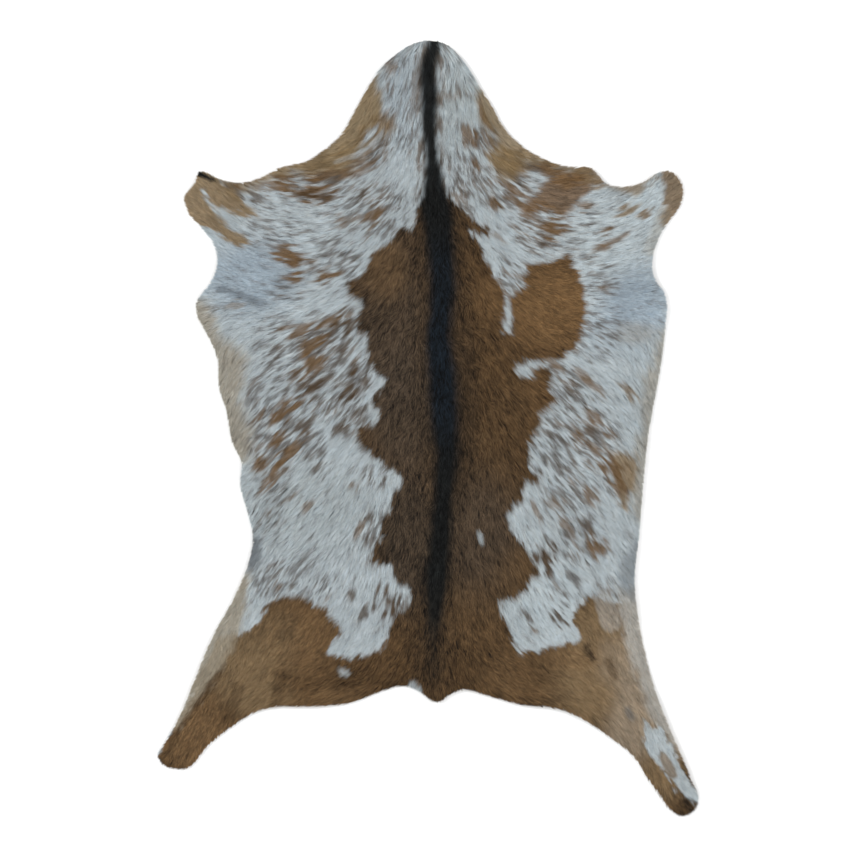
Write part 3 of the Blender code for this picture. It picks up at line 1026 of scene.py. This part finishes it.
def flecked(base, out, down, strand_draw, palette):
    """A colour with flecks. The streak noise takes the fleck's colour where it is above one
    less the share, finely by the strand and broadly by the lock, and clouds move the share."""
    clouds = value_noise(out, down, *FLECK_CLOUDS)
    fine, broad, brownness = (np.full(out.shape, value) for value in EVERYWHERE)
    for _, *place, fine_share, broad_share, brown_share in FLECKS:
        part = ease(blob(out, down, *place), *FLECK_OVAL)
        brownness = np.where(part * fine_share > fine, brown_share, brownness)
        fine = np.maximum(fine, part * fine_share)
        broad = np.maximum(broad, part * broad_share)
    warm = ease(value_noise(out, down, *WARM_CLOUDS) + 2 * brownness - 1, *TURN_BROWN)

    level = 1 - fine * (1 + FINE_CLOUDED * clouds)
    drawn = streaks(out, down, *FINE_FLECKS) + FINE_DRAWN * strand_draw
    above = ease(drawn, level - FINE_SOFTNESS, level + FINE_SOFTNESS)
    cover = FINE_COVER[0] + FINE_COVER[1] * ease(fine, *FULLY_FLECKED)
    base = mix(base, mix(palette["fleck"], palette["hip"], warm), cover * above)

    level = 1 - broad * (1 + BROAD_CLOUDED * clouds)
    drawn = streaks(out, down, *BROAD_FLECKS) + BROAD_DRAWN * strand_draw
    above = ease(drawn, level - BROAD_SOFTNESS[0], level + BROAD_SOFTNESS[1])
    dark = mix(palette["fleck"], palette["saddle"], BROAD_BROWN[0] + BROAD_BROWN[1] * warm)
    return mix(base, dark, BROAD_COVER * above)


def stripe_distance(out, down):
    """How far outside the stripe's border a place is, and the border's softness and share."""
    downs, middles, halves, softness, shares = zip(*STRIPE)
    away = np.abs(out - np.interp(down, downs, middles)) - np.interp(down, downs, halves)
    return away, np.interp(down, downs, softness), np.interp(down, downs, shares)


def brown_hair(out, down, palette):
    """The saddle's brown with its tones, darker towards the stripe, in clouds."""
    brown = toned(palette["saddle"], out, down, BROWN_TONES, palette)
    away, _, share = stripe_distance(out, down)
    brown = mix(brown, palette["dark"], HALO_COVER * share * (1 - ease(away, *HALO_REACH)))
    clouds = BROWN_CLOUDED * value_noise(out, down, *BROWN_CLOUDS)
    clouds = clouds + BROWN_CLOUDED_FINELY * value_noise(out, down, *SMALL_BROWN_CLOUDS)
    return brown * (1 + clouds)[:, None]


def patched(base, patches, out, down, ragged, palette, brown=None):
    """A colour covered by patches, whose edges the ragged noise moves in or out, and the share
    of each place that is brown."""
    browned = np.zeros(out.shape)
    for _, tone, share, softness, places in patches:
        sides = sides_of(places)
        low = sides.min(axis=0) - softness - RAGGED_REACH
        high = sides.max(axis=0) + softness + RAGGED_REACH
        near = (out > low[0]) & (out < high[0]) & (down > low[1]) & (down < high[1])
        depth = depth_inside(sides, out[near], down[near]) + ragged[near] + EDGE_HAIR
        cover = np.zeros(out.shape)
        cover[near] = share * ease(depth, -softness, softness)
        base = mix(base, brown if tone == "saddle" else palette[tone], cover)
        light = tone in LIGHT_TONES
        browned = browned * (1 - cover) if light else np.maximum(browned, cover)
    return base, browned


def coat_colours(out, down, lock_draw, strand_draw, palette):
    """The coat's colour at each place. The white is changed by its tones, flecked, spotted, and
    covered by the patches and the stripe. Some tones, patches, marks and the grain hold painted
    shade of creases, folds and gaps between locks, and painted sheen on the stripe. Draws are
    from -1 to 1."""
    locks = streaks(out, down, *LOCK_STREAKS)
    ragged = CLOUD_RAGGED * value_noise(out, down, *BORDER_CLOUDS)
    ragged = ragged + STREAK_RAGGED * (locks - 0.5)
    ragged = ragged + LOCK_RAGGED * lock_draw + STRAND_RAGGED * strand_draw
    base = toned(palette["white"], out, down, WHITE_TONES, palette)
    base, _ = patched(base, UNDER_PATCHES, out, down, ragged, palette)
    base = flecked(base, out, down, strand_draw, palette)
    away, softness, share = stripe_distance(out, down)
    fringe = share * (1 - ease(away - FRINGE_RAGGED * ragged, 0, FRINGE_REACH))
    fringe = fringe * ease(locks, *FRINGE_STREAKS)
    base = mix(base, palette["fringe"], FRINGE_COVER * fringe)
    base = spotted(base, out, down, locks * 2 - 1, palette)
    brown = brown_hair(out, down, palette)
    base, browned = patched(base, PATCHES, out, down, ragged, palette, brown)
    base = marked(base, out, down, ragged, palette)
    stripe = share * ease(STRIPE_RAGGED * ragged - away, -softness, softness)
    # The stripe's black carries a painted bluish sheen along its middle.
    black = toned(palette["black"], out, down, BLACK_SHEEN, palette)
    base = mix(base, black, STRIPE_COVER * stripe)

    noises = np.array([
        streaks(out, down, *FINE_GRAIN) - 0.5,
        streaks(out, down, *BROAD_GRAIN) - 0.5,
        value_noise(out, down, *CURLS),
        strand_draw,
        value_noise(out, down, *WIDE_CLOUDS),
    ])
    browned = browned * np.clip(GRAINY_BROWN / base.mean(axis=1), *GRAIN_LIMITS)
    # The grain holds painted shade in the brown's gaps between locks and painted sheen in the
    # black's lighter strands.
    grain = COAT_GRAIN @ noises + browned * (BROWN_GRAIN_AND_SHADE @ noises) + stripe * (BLACK_GRAIN_AND_SHEEN @ noises)
    return base * (1 + grain)[:, None]


def palette_of(coat):
    """The coat's colours by name, as arrays."""
    return {name: np.array(getattr(coat, name)) for name in CoatSettings.__annotations__}


# Meshes


def metres(out, down, height):
    """Places on the hide as the model's X, Y and Z."""
    return np.stack([SPINE_X + out * MM, NECK_Y - down * MM, height * MM], axis=-1)


def placed(name, data):
    """An object of a mesh, a light or a camera in the scene, at the origin."""
    thing = bpy.data.objects.new(name, data)
    bpy.context.scene.collection.objects.link(thing)
    return thing


def mesh_object(name, points, corners, starts, material_index=None):
    """An object at the origin from whole arrays: its points, its faces' corners in a row, and
    where in that row each face starts."""
    mesh = bpy.data.meshes.new(name)
    mesh.vertices.add(len(points))
    mesh.vertices.foreach_set("co", points.astype(np.float32).ravel())
    mesh.loops.add(len(corners))
    mesh.loops.foreach_set("vertex_index", corners.astype(np.int32))
    mesh.polygons.add(len(starts))
    mesh.polygons.foreach_set("loop_start", starts.astype(np.int32))
    if material_index is not None:
        mesh.polygons.foreach_set("material_index", material_index.astype(np.int32))
    mesh.update(calc_edges=True)
    mesh.shade_smooth()
    return placed(name, mesh)


def paint(piece, colours):
    """Keeps a colour for each point in the attribute that the materials read."""
    attribute = piece.data.attributes.new("coat", "FLOAT_COLOR", "POINT")
    values = np.ones((len(colours), 4), np.float32)
    values[:, :3] = np.clip(colours, 0, 1)
    attribute.data.foreach_set("color", values.ravel())


def four_around(grid):
    """A grid's values around each of its inner corners: two above and two below it."""
    return grid[:-1, :-1], grid[:-1, 1:], grid[1:, :-1], grid[1:, 1:]


def without_corner_contacts(kept):
    """Cells that touch only at a corner get the two cells beside it, so the sheet has no point
    where two borders meet."""
    for _ in range(4):
        a, b, c, d = four_around(kept)
        crossed = (a & d & ~b & ~c) | (b & c & ~a & ~d)
        kept = kept.copy()
        for part in four_around(kept):
            part |= crossed
    return kept


def skin_grid(skin):
    """The skin's square grid over the hide, the cells that are kept and the places they use.
    A cell is kept where its middle is inside the edge, and the border's places are slid along
    the depth chart's slope onto the edge."""
    depth = edge_depth()
    out, down = hide_grid(skin.step, skin.step)
    half = skin.step / 2
    kept = np.pad(depth(out[:-1, :-1] + half, down[:-1, :-1] + half) > skin.inset, 1)
    kept = without_corner_contacts(kept)
    used = np.any(four_around(kept), axis=0)
    border = used & ~np.all(four_around(kept), axis=0)
    for _ in range(3):
        way_out, way_down = outward(out[border], down[border])
        slide = depth(out[border], down[border]) - skin.inset
        out[border] += slide * way_out
        down[border] += slide * way_down
    return out, down, kept, used


def skin_faces(kept, used):
    """The faces of a closed sheet on the grid's kept cells: the hair side, then the flesh side,
    whose points are numbered after it, and the walls where a cell has no neighbour."""
    count = int(used.sum())
    number = np.full(used.shape, -1)
    number[used] = np.arange(count)
    a, b, d, c = four_around(number)
    cells = kept[1:-1, 1:-1]
    top = np.stack([a, d, c, b], axis=-1)[cells]
    walls = [
        np.stack([second, first, first + count, second + count], axis=-1)[cells & ~beside]
        for first, second, beside in (
            (b, a, kept[:-2, 1:-1]),
            (d, c, kept[2:, 1:-1]),
            (a, d, kept[1:-1, :-2]),
            (c, b, kept[1:-1, 2:]),
        )
    ]
    return np.vstack([top, top[:, ::-1] + count, *walls]), len(top)


def skin_sheet(skin):
    """The skin as a closed sheet. Its flesh side lies on the folds, and its hair side is that
    raised by the thickness, which falls to the edge's own within three steps."""
    out, down, kept, used = skin_grid(skin)
    faces, hair_side = skin_faces(kept, used)
    out, down = out[used], down[used]
    lift = floor_lift()(out, down)
    inner = ease(edge_depth()(out, down), skin.inset, skin.inset + 3 * skin.step)
    thick = skin.edge_thickness + (skin.thickness - skin.edge_thickness) * inner
    points = np.vstack([metres(out, down, lift + thick), metres(out, down, lift)])
    index = (np.arange(len(faces)) >= hair_side).astype(int)
    piece = mesh_object("skin", points, faces.ravel(), np.arange(len(faces)) * 4, index)
    return piece, out, down


def jittered_places(spacing, rng):
    """Places on a square lattice over the hide, each moved at random inside its cell."""
    out, down = hide_grid(spacing)
    out = out + rng.uniform(0, spacing, out.shape)
    down = down + rng.uniform(0, spacing, down.shape)
    return out, down


def hair_roots(hair, rng):
    """The strands' roots, on a jittered lattice. They keep the root inset from the edge where
    the hair lies outwards, and come nearer to it where the hair lies inwards."""
    out, down = jittered_places(hair.strand_spacing, rng)
    out, down = out.ravel(), down.ravel()
    way_out, way_down = lay_direction(out, down)
    edge_out, edge_down = outward(out, down)
    facing = way_out * edge_out + way_down * edge_down
    inset = hair.root_inset * (ROOT_INSETS[0] + ROOT_INSETS[1] * facing)
    kept = edge_depth()(out, down) > inset
    return out[kept], down[kept]


def lock_of_each(out, down, spacing, rng):
    """Joins each strand to a lock: the locks have middles on a jittered lattice, and a strand
    joins the one that is nearest when lengths along the hair count for half. It returns the
    lock's number, the strand's place beside its middle, along and across, and the count."""
    lock_out, lock_down = jittered_places(spacing, rng)
    rows, columns = lock_out.shape
    i = np.clip((down / spacing).astype(int), 0, rows - 1)
    j = np.clip(((out - LEFT_END) / spacing).astype(int), 0, columns - 1)
    way_out, way_down = lay_direction(out, down)
    best = np.full(out.shape, np.inf)
    number = np.zeros(out.shape, int)
    along = np.zeros(out.shape)
    across = np.zeros(out.shape)
    for step_i, step_j in product(range(-2, 3), repeat=2):
        near_i = np.clip(i + step_i, 0, rows - 1)
        near_j = np.clip(j + step_j, 0, columns - 1)
        far_out = out - lock_out[near_i, near_j]
        far_down = down - lock_down[near_i, near_j]
        part_along = far_out * way_out + far_down * way_down
        part_across = far_out * way_down - far_down * way_out
        away = (part_along / 2) ** 2 + part_across**2
        closer = away < best
        best = np.where(closer, away, best)
        number = np.where(closer, near_i * columns + near_j, number)
        along = np.where(closer, part_along, along)
        across = np.where(closer, part_across, across)
    return number, along, across, rows * columns


def hair_draws(lock, locks, rng):
    """What differs by chance: from lock to lock first, then from strand to strand."""
    total = lock.size
    return SimpleNamespace(
        lock_turn=rng.normal(0, LOCK_TURN, locks)[lock],
        lock_length=rng.uniform(*LOCK_LENGTHS, locks)[lock],
        lock_lift=rng.uniform(*LOCK_LIFTS, locks)[lock],
        lock=rng.uniform(-1, 1, locks)[lock],
        lock_shade=rng.normal(0, 1, locks)[lock],
        turn=rng.normal(0, 1, total),
        strand=rng.uniform(-1, 1, total),
        shade=rng.normal(0, 1, total),
        roll=rng.normal(0, ROLL, total),
        overshoot=rng.uniform(-OVERSHOOT, OVERSHOOT, total),
        length=rng.uniform(*STRAND_LENGTHS, total),
        lift=rng.uniform(*STRAND_LENGTHS, total),
        warmth=rng.normal(0, WARMTH, total),
    )


def hair_lengths(out, down, along, hair, drawn):
    """Each strand's length and ruffle, from LENGTHS, and its shag, which is 1 for hair as long
    as the body's. A strand is shorter the further along its lock it grows, so that the tips
    end together."""
    span = np.full(out.size, hair.body_length)
    ruffle = np.full(out.size, hair.ruffle)
    for _, *place, hair_length, ruffled in LENGTHS:
        part = ease(blob(out, down, *place), *LENGTH_OVAL)
        span = span + (hair_length - span) * part
        ruffle = ruffle + (ruffled - ruffle) * part
    shag = np.clip((span - SHORT_HAIR) / (hair.body_length - SHORT_HAIR), LEAST_SHAG, 1)
    span = span * (1 + shag * (drawn.lock_length - 1)) * drawn.length - TIPS_MEET * along
    return np.maximum(span, LEAST_LENGTH), ruffle, shag


def hair_bends(out, down, span, turn, flare, overshoot):
    """The middle bend and the end of each strand's curve. Both halves follow the lay with the
    strand's turn, and turn outwards near the edge. A strand is cut short where its tip would
    pass the edge by more than its overshoot."""
    depth = edge_depth()
    start_depth = depth(out, down)
    edge_out, edge_down = outward(out, down)
    near_edge = EDGE_TURN * (1 - ease(start_depth, EDGE_BAND, flare))

    def headed(at_out, at_down):
        part_out, part_down = turned(lay_direction(at_out, at_down), turn)
        part_out = part_out + near_edge * edge_out
        part_down = part_down + near_edge * edge_down
        size = np.hypot(part_out, part_down)
        return part_out / size, part_down / size

    first = headed(out, down)
    tip_depth = depth(out + first[0] * span, down + first[1] * span)
    room = (start_depth + overshoot) / (start_depth - tip_depth + 1e-3)
    span = np.where(tip_depth < -overshoot, span * np.clip(room, LEAST_ROOM, 1), span)
    bend = out + first[0] * span / 2, down + first[1] * span / 2
    second = headed(*bend)
    end = bend[0] + second[0] * span / 2, bend[1] + second[1] * span / 2
    return span, first, bend, end


def hair_strands(hair):
    """All strands of the coat as arrays. A strand's middle line is a quadratic curve from its
    root along the hair's lay, pulled sideways to its lock's middle towards the tip. Its height
    grows as a power of the share of its length, and the lock's dome is added to it."""
    rng = np.random.default_rng(hair.seed)
    out, down = hair_roots(hair, rng)
    lock, along, across, locks = lock_of_each(out, down, hair.lock_spacing, rng)
    drawn = hair_draws(lock, locks, rng)
    span, ruffle, shag = hair_lengths(out, down, along, hair, drawn)
    turn = shag * drawn.lock_turn + ruffle * drawn.turn
    turn = turn + BODY_WAVE * value_noise(out, down, *BODY_WAVES)
    waves = value_noise(out, down, *RUFFLE_CLOUDS)
    turn = turn + RUFFLE_WAVE * (ruffle - hair.ruffle) * waves
    span, first, bend, end = hair_bends(out, down, span, turn, hair.flare, drawn.overshoot)

    def line_at(t, pulled):
        pull = pulled * across[:, None] * ease(t, 0, 1)
        line_out, line_down = (
            (1 - t) ** 2 * root[:, None] + 2 * t * (1 - t) * middle[:, None] + t**2 * tip[:, None]
            for root, middle, tip in zip((out, down), bend, end)
        )
        return line_out - pull * first[1][:, None], line_down + pull * first[0][:, None]

    t = SECTIONS[None, :]
    line_out, line_down = line_at(t, LINE_PULL)
    half = hair.lock_spacing / 2
    dome = LOCK_DOME * shag * np.clip(1 - (across / half) ** 2, DOME_LEAST, 1)
    rise = hair.lie * span * (1 + shag * (drawn.lock_lift - 1)) * drawn.lift
    height = floor_lift()(line_out, line_down) + ROOT_HEIGHT
    height = height + rise[:, None] * t**RISE_POWER + dome[:, None] * ease(t, 0, DOME_REACH)
    return SimpleNamespace(
        line=metres(line_out, line_down, height),
        roll=drawn.roll - LOCK_ROLL * shag * np.clip(across / half, -1, 1),
        root_out=out,
        shown=line_at(np.array([SHOWN]), COLOUR_PULL),
        draws=(drawn.lock, drawn.strand),
        shade=LOCK_SHADE * drawn.lock_shade + STRAND_SHADE * drawn.shade,
        warmth=drawn.warmth,
    )


def ribbon_points(line, roll, width):
    """The points of tapered ribbons: two at each section but the last, half a width to either
    side of the middle line, along the level normal tipped by the roll, and one at the tip."""
    way = np.gradient(line, axis=1)
    level = np.stack([way[..., 1], -way[..., 0], np.zeros_like(way[..., 0])], axis=-1)
    level /= np.linalg.norm(level, axis=-1, keepdims=True) + 1e-9
    tipped = level * np.cos(roll)[:, None, None]
    tipped[..., 2] += np.sin(roll)[:, None]
    half = (width / 2) * SECTION_WIDTHS[None, :, None]
    side = tipped[:, :-1] * half
    pairs = np.stack([line[:, :-1] - side, line[:, :-1] + side], axis=2)
    return np.concatenate([pairs.reshape(len(line), -1, 3), line[:, -1:]], axis=1)


def hair_piece(name, line, roll, colours, width):
    """One mesh of many ribbons. Its map "strand" runs across and along every ribbon, and its
    map "OFBake" gives every ribbon a small square of its own."""
    count = len(line)
    points = ribbon_points(line, roll, width).reshape(-1, 3)
    corners = RIBBON_CORNERS[None] + np.arange(count)[:, None] * RIBBON_POINTS
    starts = RIBBON_STARTS[None] + np.arange(count)[:, None] * len(RIBBON_CORNERS)
    piece = mesh_object(name, points, corners.ravel(), starts.ravel())
    root, middle, tip = np.moveaxis(colours, 1, 0)
    paint(piece, np.stack([root, root, middle, middle, tip], axis=1).reshape(-1, 3))

    every = np.tile(CORNER_PLACES, (count, 1))
    piece.data.uv_layers.new(name="strand").uv.foreach_set("vector", every.ravel())
    squares = int(np.ceil(np.sqrt(count)))
    place = np.stack([np.arange(count) % squares, np.arange(count) // squares], axis=-1)
    inner = (1 - 2 * SQUARE_MARGIN) * CORNER_PLACES
    spread = (place[:, None] + SQUARE_MARGIN + inner[None]) / squares
    piece.data.uv_layers.new(name="OFBake").uv.foreach_set("vector", spread.ravel())
    return piece


# Materials


def fill(tree, node, inputs):
    """Gives each of a node's inputs its value, or a link from another node's output."""
    for name, given in inputs.items():
        if isinstance(given, bpy.types.NodeSocket):
            tree.links.new(given, node.inputs[name])
        else:
            node.inputs[name].default_value = given


def add_node(tree, kind, place, inputs=None, **settings):
    """A new node at a place in the tree, with its inputs filled and its settings set."""
    node = tree.nodes.new(kind)
    node.location = place
    for name, value in settings.items():
        setattr(node, name, value)
    fill(tree, node, inputs or {})
    return node


def math_result(tree, operation, place, *values):
    """The result of a math node on two values or other nodes' outputs."""
    inputs = dict(enumerate(values))
    return add_node(tree, "ShaderNodeMath", place, inputs, operation=operation).outputs[0]


def noise(tree, place, scale, detail=2.0):
    """Noise over the object's own coordinates."""
    where = add_node(tree, "ShaderNodeTexCoord", (place[0] - 200, place[1])).outputs["Object"]
    inputs = {"Vector": where, "Scale": scale, "Detail": detail}
    return add_node(tree, "ShaderNodeTexNoise", place, inputs).outputs["Fac"]


def ranged(tree, place, value, low, high, start=0.0, end=1.0):
    """A value that runs from start to end, made to run from low to high."""
    inputs = {"Value": value, "From Min": start, "From Max": end, "To Min": low, "To Max": high}
    return add_node(tree, "ShaderNodeMapRange", place, inputs).outputs[0]


def dimmed(tree, place, shade, factor):
    """A colour times a factor."""
    inputs = {0: shade, "Scale": factor}
    return add_node(tree, "ShaderNodeVectorMath", place, inputs, operation="SCALE").outputs[0]


@lru_cache(maxsize=1)
def coat_grain_group():
    """Node group for whatever wears the coat's colours: the painted colour with fine streaks,
    and a roughness that follows them."""
    group = bpy.data.node_groups.new("coat grain", "ShaderNodeTree")
    for name, way, kind in (
        ("Streaks", "INPUT", "NodeSocketFloat"),
        ("Scale", "INPUT", "NodeSocketFloat"),
        ("Color", "OUTPUT", "NodeSocketColor"),
        ("Roughness", "OUTPUT", "NodeSocketFloat"),
    ):
        group.interface.new_socket(name, in_out=way, socket_type=kind)
    given = add_node(group, "NodeGroupInput", (-900, 0)).outputs
    painted = add_node(group, "ShaderNodeAttribute", (-700, 200), attribute_name="coat")
    fine = noise(group, (-500, -100), given["Scale"], 3.0)
    low = math_result(group, "SUBTRACT", (-500, 100), 1.0, given["Streaks"])
    high = math_result(group, "ADD", (-500, 250), 1.0, given["Streaks"])
    spread = ranged(group, (-300, -100), fine, low, high, 0.25, 0.75)
    add_node(group, "NodeGroupOutput", (500, 0), {
        "Color": dimmed(group, (0, 150), painted.outputs["Color"], spread),
        "Roughness": ranged(group, (0, -150), fine, 0.5, 0.72),
    })
    return group


def new_material(name, roughness, specular):
    """A material, and its shader with the roughness and specular level."""
    material = bpy.data.materials.new(name)
    material.use_nodes = True
    shader = material.node_tree.nodes["Principled BSDF"]
    fill(material.node_tree, shader, {"Roughness": roughness, "Specular IOR Level": specular})
    return material, shader


def grained(tree, streaks_share, scale):
    """The coat grain in a material, with its own share of streaks and scale."""
    grain = add_node(tree, "ShaderNodeGroup", (-600, 100), node_tree=coat_grain_group())
    fill(tree, grain, {"Streaks": streaks_share, "Scale": scale})
    return grain


def bumped(tree, place, height, strength, distance):
    """The normal of a bump of the given height."""
    inputs = {"Height": height, "Strength": strength, "Distance": distance}
    return add_node(tree, "ShaderNodeBump", place, inputs).outputs["Normal"]


def hair_material():
    """Hair: the coat's colour, darker at the root as painted shade deep among the strands and
    lighter at the tip, on a round strand, whose height falls as four times the square of the
    way from its middle."""
    material, shader = new_material("lying_hair", 0.6, 0.09)
    tree = material.node_tree
    grain = grained(tree, 0.10, 900)
    strand = add_node(tree, "ShaderNodeUVMap", (-1100, -200), uv_map="strand")
    parts = add_node(tree, "ShaderNodeSeparateXYZ", (-900, -200), {0: strand.outputs["UV"]})
    # Painted shade: darker towards the root, deep among the strands, and a little lighter at the
    # tip.
    shade = ranged(tree, (-600, -100), parts.outputs["Y"], 0.84, 1.05, 0.0, 0.75)
    offset = math_result(tree, "SUBTRACT", (-700, -350), parts.outputs["X"], 0.5)
    square = math_result(tree, "MULTIPLY", (-500, -350), offset, offset)
    height = math_result(tree, "MULTIPLY", (-350, -350), square, -4.0)
    fill(tree, shader, {
        "Base Color": dimmed(tree, (-300, 100), grain.outputs["Color"], shade),
        "Roughness": grain.outputs["Roughness"],
        "Normal": bumped(tree, (-180, -300), height, 0.5, 0.0002),
        "Sheen Weight": 0.01,
        "Sheen Roughness": 0.5,
    })
    return material


def undercoat_material():
    """The hair side of the skin between the strands: the coat's colour in short fine down."""
    material, shader = new_material("undercoat", 0.8, 0.2)
    tree = material.node_tree
    grain = grained(tree, 0.35, 1400)
    fill(tree, shader, {
        "Base Color": grain.outputs["Color"],
        "Roughness": grain.outputs["Roughness"],
        "Normal": bumped(tree, (-250, -200), noise(tree, (-600, -200), 1800.0), 0.6, 0.0004),
    })
    return material


def flesh_material(flesh):
    """The flesh side: pale suede with cloudy colour and a fine nap."""
    material, shader = new_material("flesh_side", 0.9, 0.2)
    tree = material.node_tree
    clouds = noise(tree, (-800, 150), 14.0, 5.0)
    tint = add_node(tree, "ShaderNodeValToRGB", (-550, 150), {"Fac": clouds})
    for element, position, share in zip(tint.color_ramp.elements, (0.3, 0.7), (CLOUDED, 1)):
        element.position = position
        element.color = (*(share * v for v in flesh), 1)
    nap = noise(tree, (-800, -200), 1200.0, 3.0)
    fill(tree, shader, {
        "Base Color": tint.outputs["Color"],
        "Roughness": ranged(tree, (-550, -60), nap, 0.8, 1.0),
        "Normal": bumped(tree, (-300, -200), nap, 0.5, 0.0003),
    })
    return material


# Operators


class GOATSKIN_OT_skin(bpy.types.Operator):
    """Make the tanned skin: one thin closed sheet with the hide's outline, on its solid's folds"""

    bl_idname = "goatskin.skin"
    bl_label = "Tanned Skin"

    def execute(self, context):
        skin = settings_of(context.scene.goatskin_skin)
        piece, out, down = skin_sheet(skin)
        palette = palette_of(context.scene.goatskin_coat)
        lock_draw = np.random.default_rng(UNDERCOAT_SEED).uniform(-1, 1, out.size)
        strand_draw = np.zeros(out.size)
        colours = UNDERCOAT_SHADE * coat_colours(out, down, lock_draw, strand_draw, palette)
        paint(piece, np.vstack([colours, colours]))
        piece.data.materials.append(undercoat_material())
        piece.data.materials.append(flesh_material(skin.flesh))
        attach(piece, "root")
        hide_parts(NODE)
        return {"FINISHED"}


class GOATSKIN_OT_hair(bpy.types.Operator):
    """Make the coat: tapered strands in locks, along the hair's lay, in five long strips"""

    bl_idname = "goatskin.hair"
    bl_label = "Lying Hair"

    def execute(self, context):
        group = context.scene.goatskin_hair
        strands = hair_strands(settings_of(group))
        palette = palette_of(context.scene.goatskin_coat)
        draws = [np.repeat(draw, len(SHOWN)) for draw in strands.draws]
        colours = coat_colours(*(part.ravel() for part in strands.shown), *draws, palette)
        colours = colours.reshape(-1, len(SHOWN), 3) * (1 + strands.shade)[:, None, None]
        colours = colours * (1 + np.outer(strands.warmth, (1, 0, -1)))[:, None]
        material = hair_material()
        order = np.argsort(strands.root_out, kind="stable")
        for name, share in zip(HAIR_PIECES, np.array_split(order, len(HAIR_PIECES))):
            share = np.sort(share)
            parts = strands.line[share], strands.roll[share], colours[share]
            piece = hair_piece(name, *parts, group.strand_width)
            piece.data.materials.append(material)
            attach(piece, "root")
        return {"FINISHED"}


class GOATSKIN_OT_stage(bpy.types.Operator):
    """Make the stage: a plain pale floor, soft studio light and the camera straight above"""

    bl_idname = "goatskin.stage"
    bl_label = "Floor, Light and Camera"

    def execute(self, context):
        scene = context.scene
        bpy.ops.mesh.primitive_plane_add(size=FLOOR_SIZE, location=(0, 0, -FLOOR_GAP))
        ground = context.object
        ground.name = "floor"
        material, shader = new_material("pale_floor", 0.9, 0.1)
        fill(material.node_tree, shader, {"Base Color": FLOOR_COLOUR})
        ground.data.materials.append(material)

        world = bpy.data.worlds.new("studio")
        world.use_nodes = True
        sky = world.node_tree.nodes["Background"]
        fill(world.node_tree, sky, {"Color": SKY_COLOUR, "Strength": SKY_STRENGTH})
        scene.world = world
        for name, place, power in LIGHTS:
            light = bpy.data.lights.new(name, "AREA")
            light.energy = power
            light.size = LIGHT_SIZE
            lamp = placed(name, light)
            lamp.location = place
            lamp.rotation_euler = (-lamp.location).to_track_quat("-Z", "Y").to_euler()
            lamp.visible_camera = False

        camera = bpy.data.cameras.new("camera")
        camera.sensor_width = SENSOR_WIDTH
        camera.lens = LENS
        stand = placed("camera", camera)
        stand.location = (0, 0, VIEW_WIDTH * LENS / SENSOR_WIDTH)
        scene.camera = stand
        scene.view_settings.view_transform = "Standard"
        return {"FINISHED"}


class GOATSKIN_PT_panel(bpy.types.Panel):
    """The operators and their settings, in the 3D view's sidebar"""

    bl_idname = "GOATSKIN_PT_panel"
    bl_label = "Goatskin Rug"
    bl_space_type = "VIEW_3D"
    bl_region_type = "UI"
    bl_category = "Goatskin"

    def draw(self, context):
        for operator in OPERATORS:
            self.layout.operator(operator.bl_idname)
        for group in SETTINGS:
            settings = getattr(context.scene, group)
            box = self.layout.box()
            for name in settings.__annotations__:
                box.prop(settings, name)


SETTINGS = {
    "goatskin_skin": SkinSettings,
    "goatskin_hair": HairSettings,
    "goatskin_coat": CoatSettings,
}
OPERATORS = (GOATSKIN_OT_skin, GOATSKIN_OT_hair, GOATSKIN_OT_stage)
CLASSES = (*SETTINGS.values(), *OPERATORS, GOATSKIN_PT_panel)


def register():
    """Registers the classes and gives the scene its settings."""
    for each in CLASSES:
        bpy.utils.register_class(each)
    for name, group in SETTINGS.items():
        setattr(bpy.types.Scene, name, PointerProperty(type=group))


def unregister():
    """Takes the settings and the classes away again."""
    for name in SETTINGS:
        delattr(bpy.types.Scene, name)
    for each in reversed(CLASSES):
        bpy.utils.unregister_class(each)


def main():
    """Makes the rug and its stage."""
    register()
    bpy.ops.goatskin.skin()
    bpy.ops.goatskin.hair()
    bpy.ops.goatskin.stage()


if __name__ == "__main__":
    main()
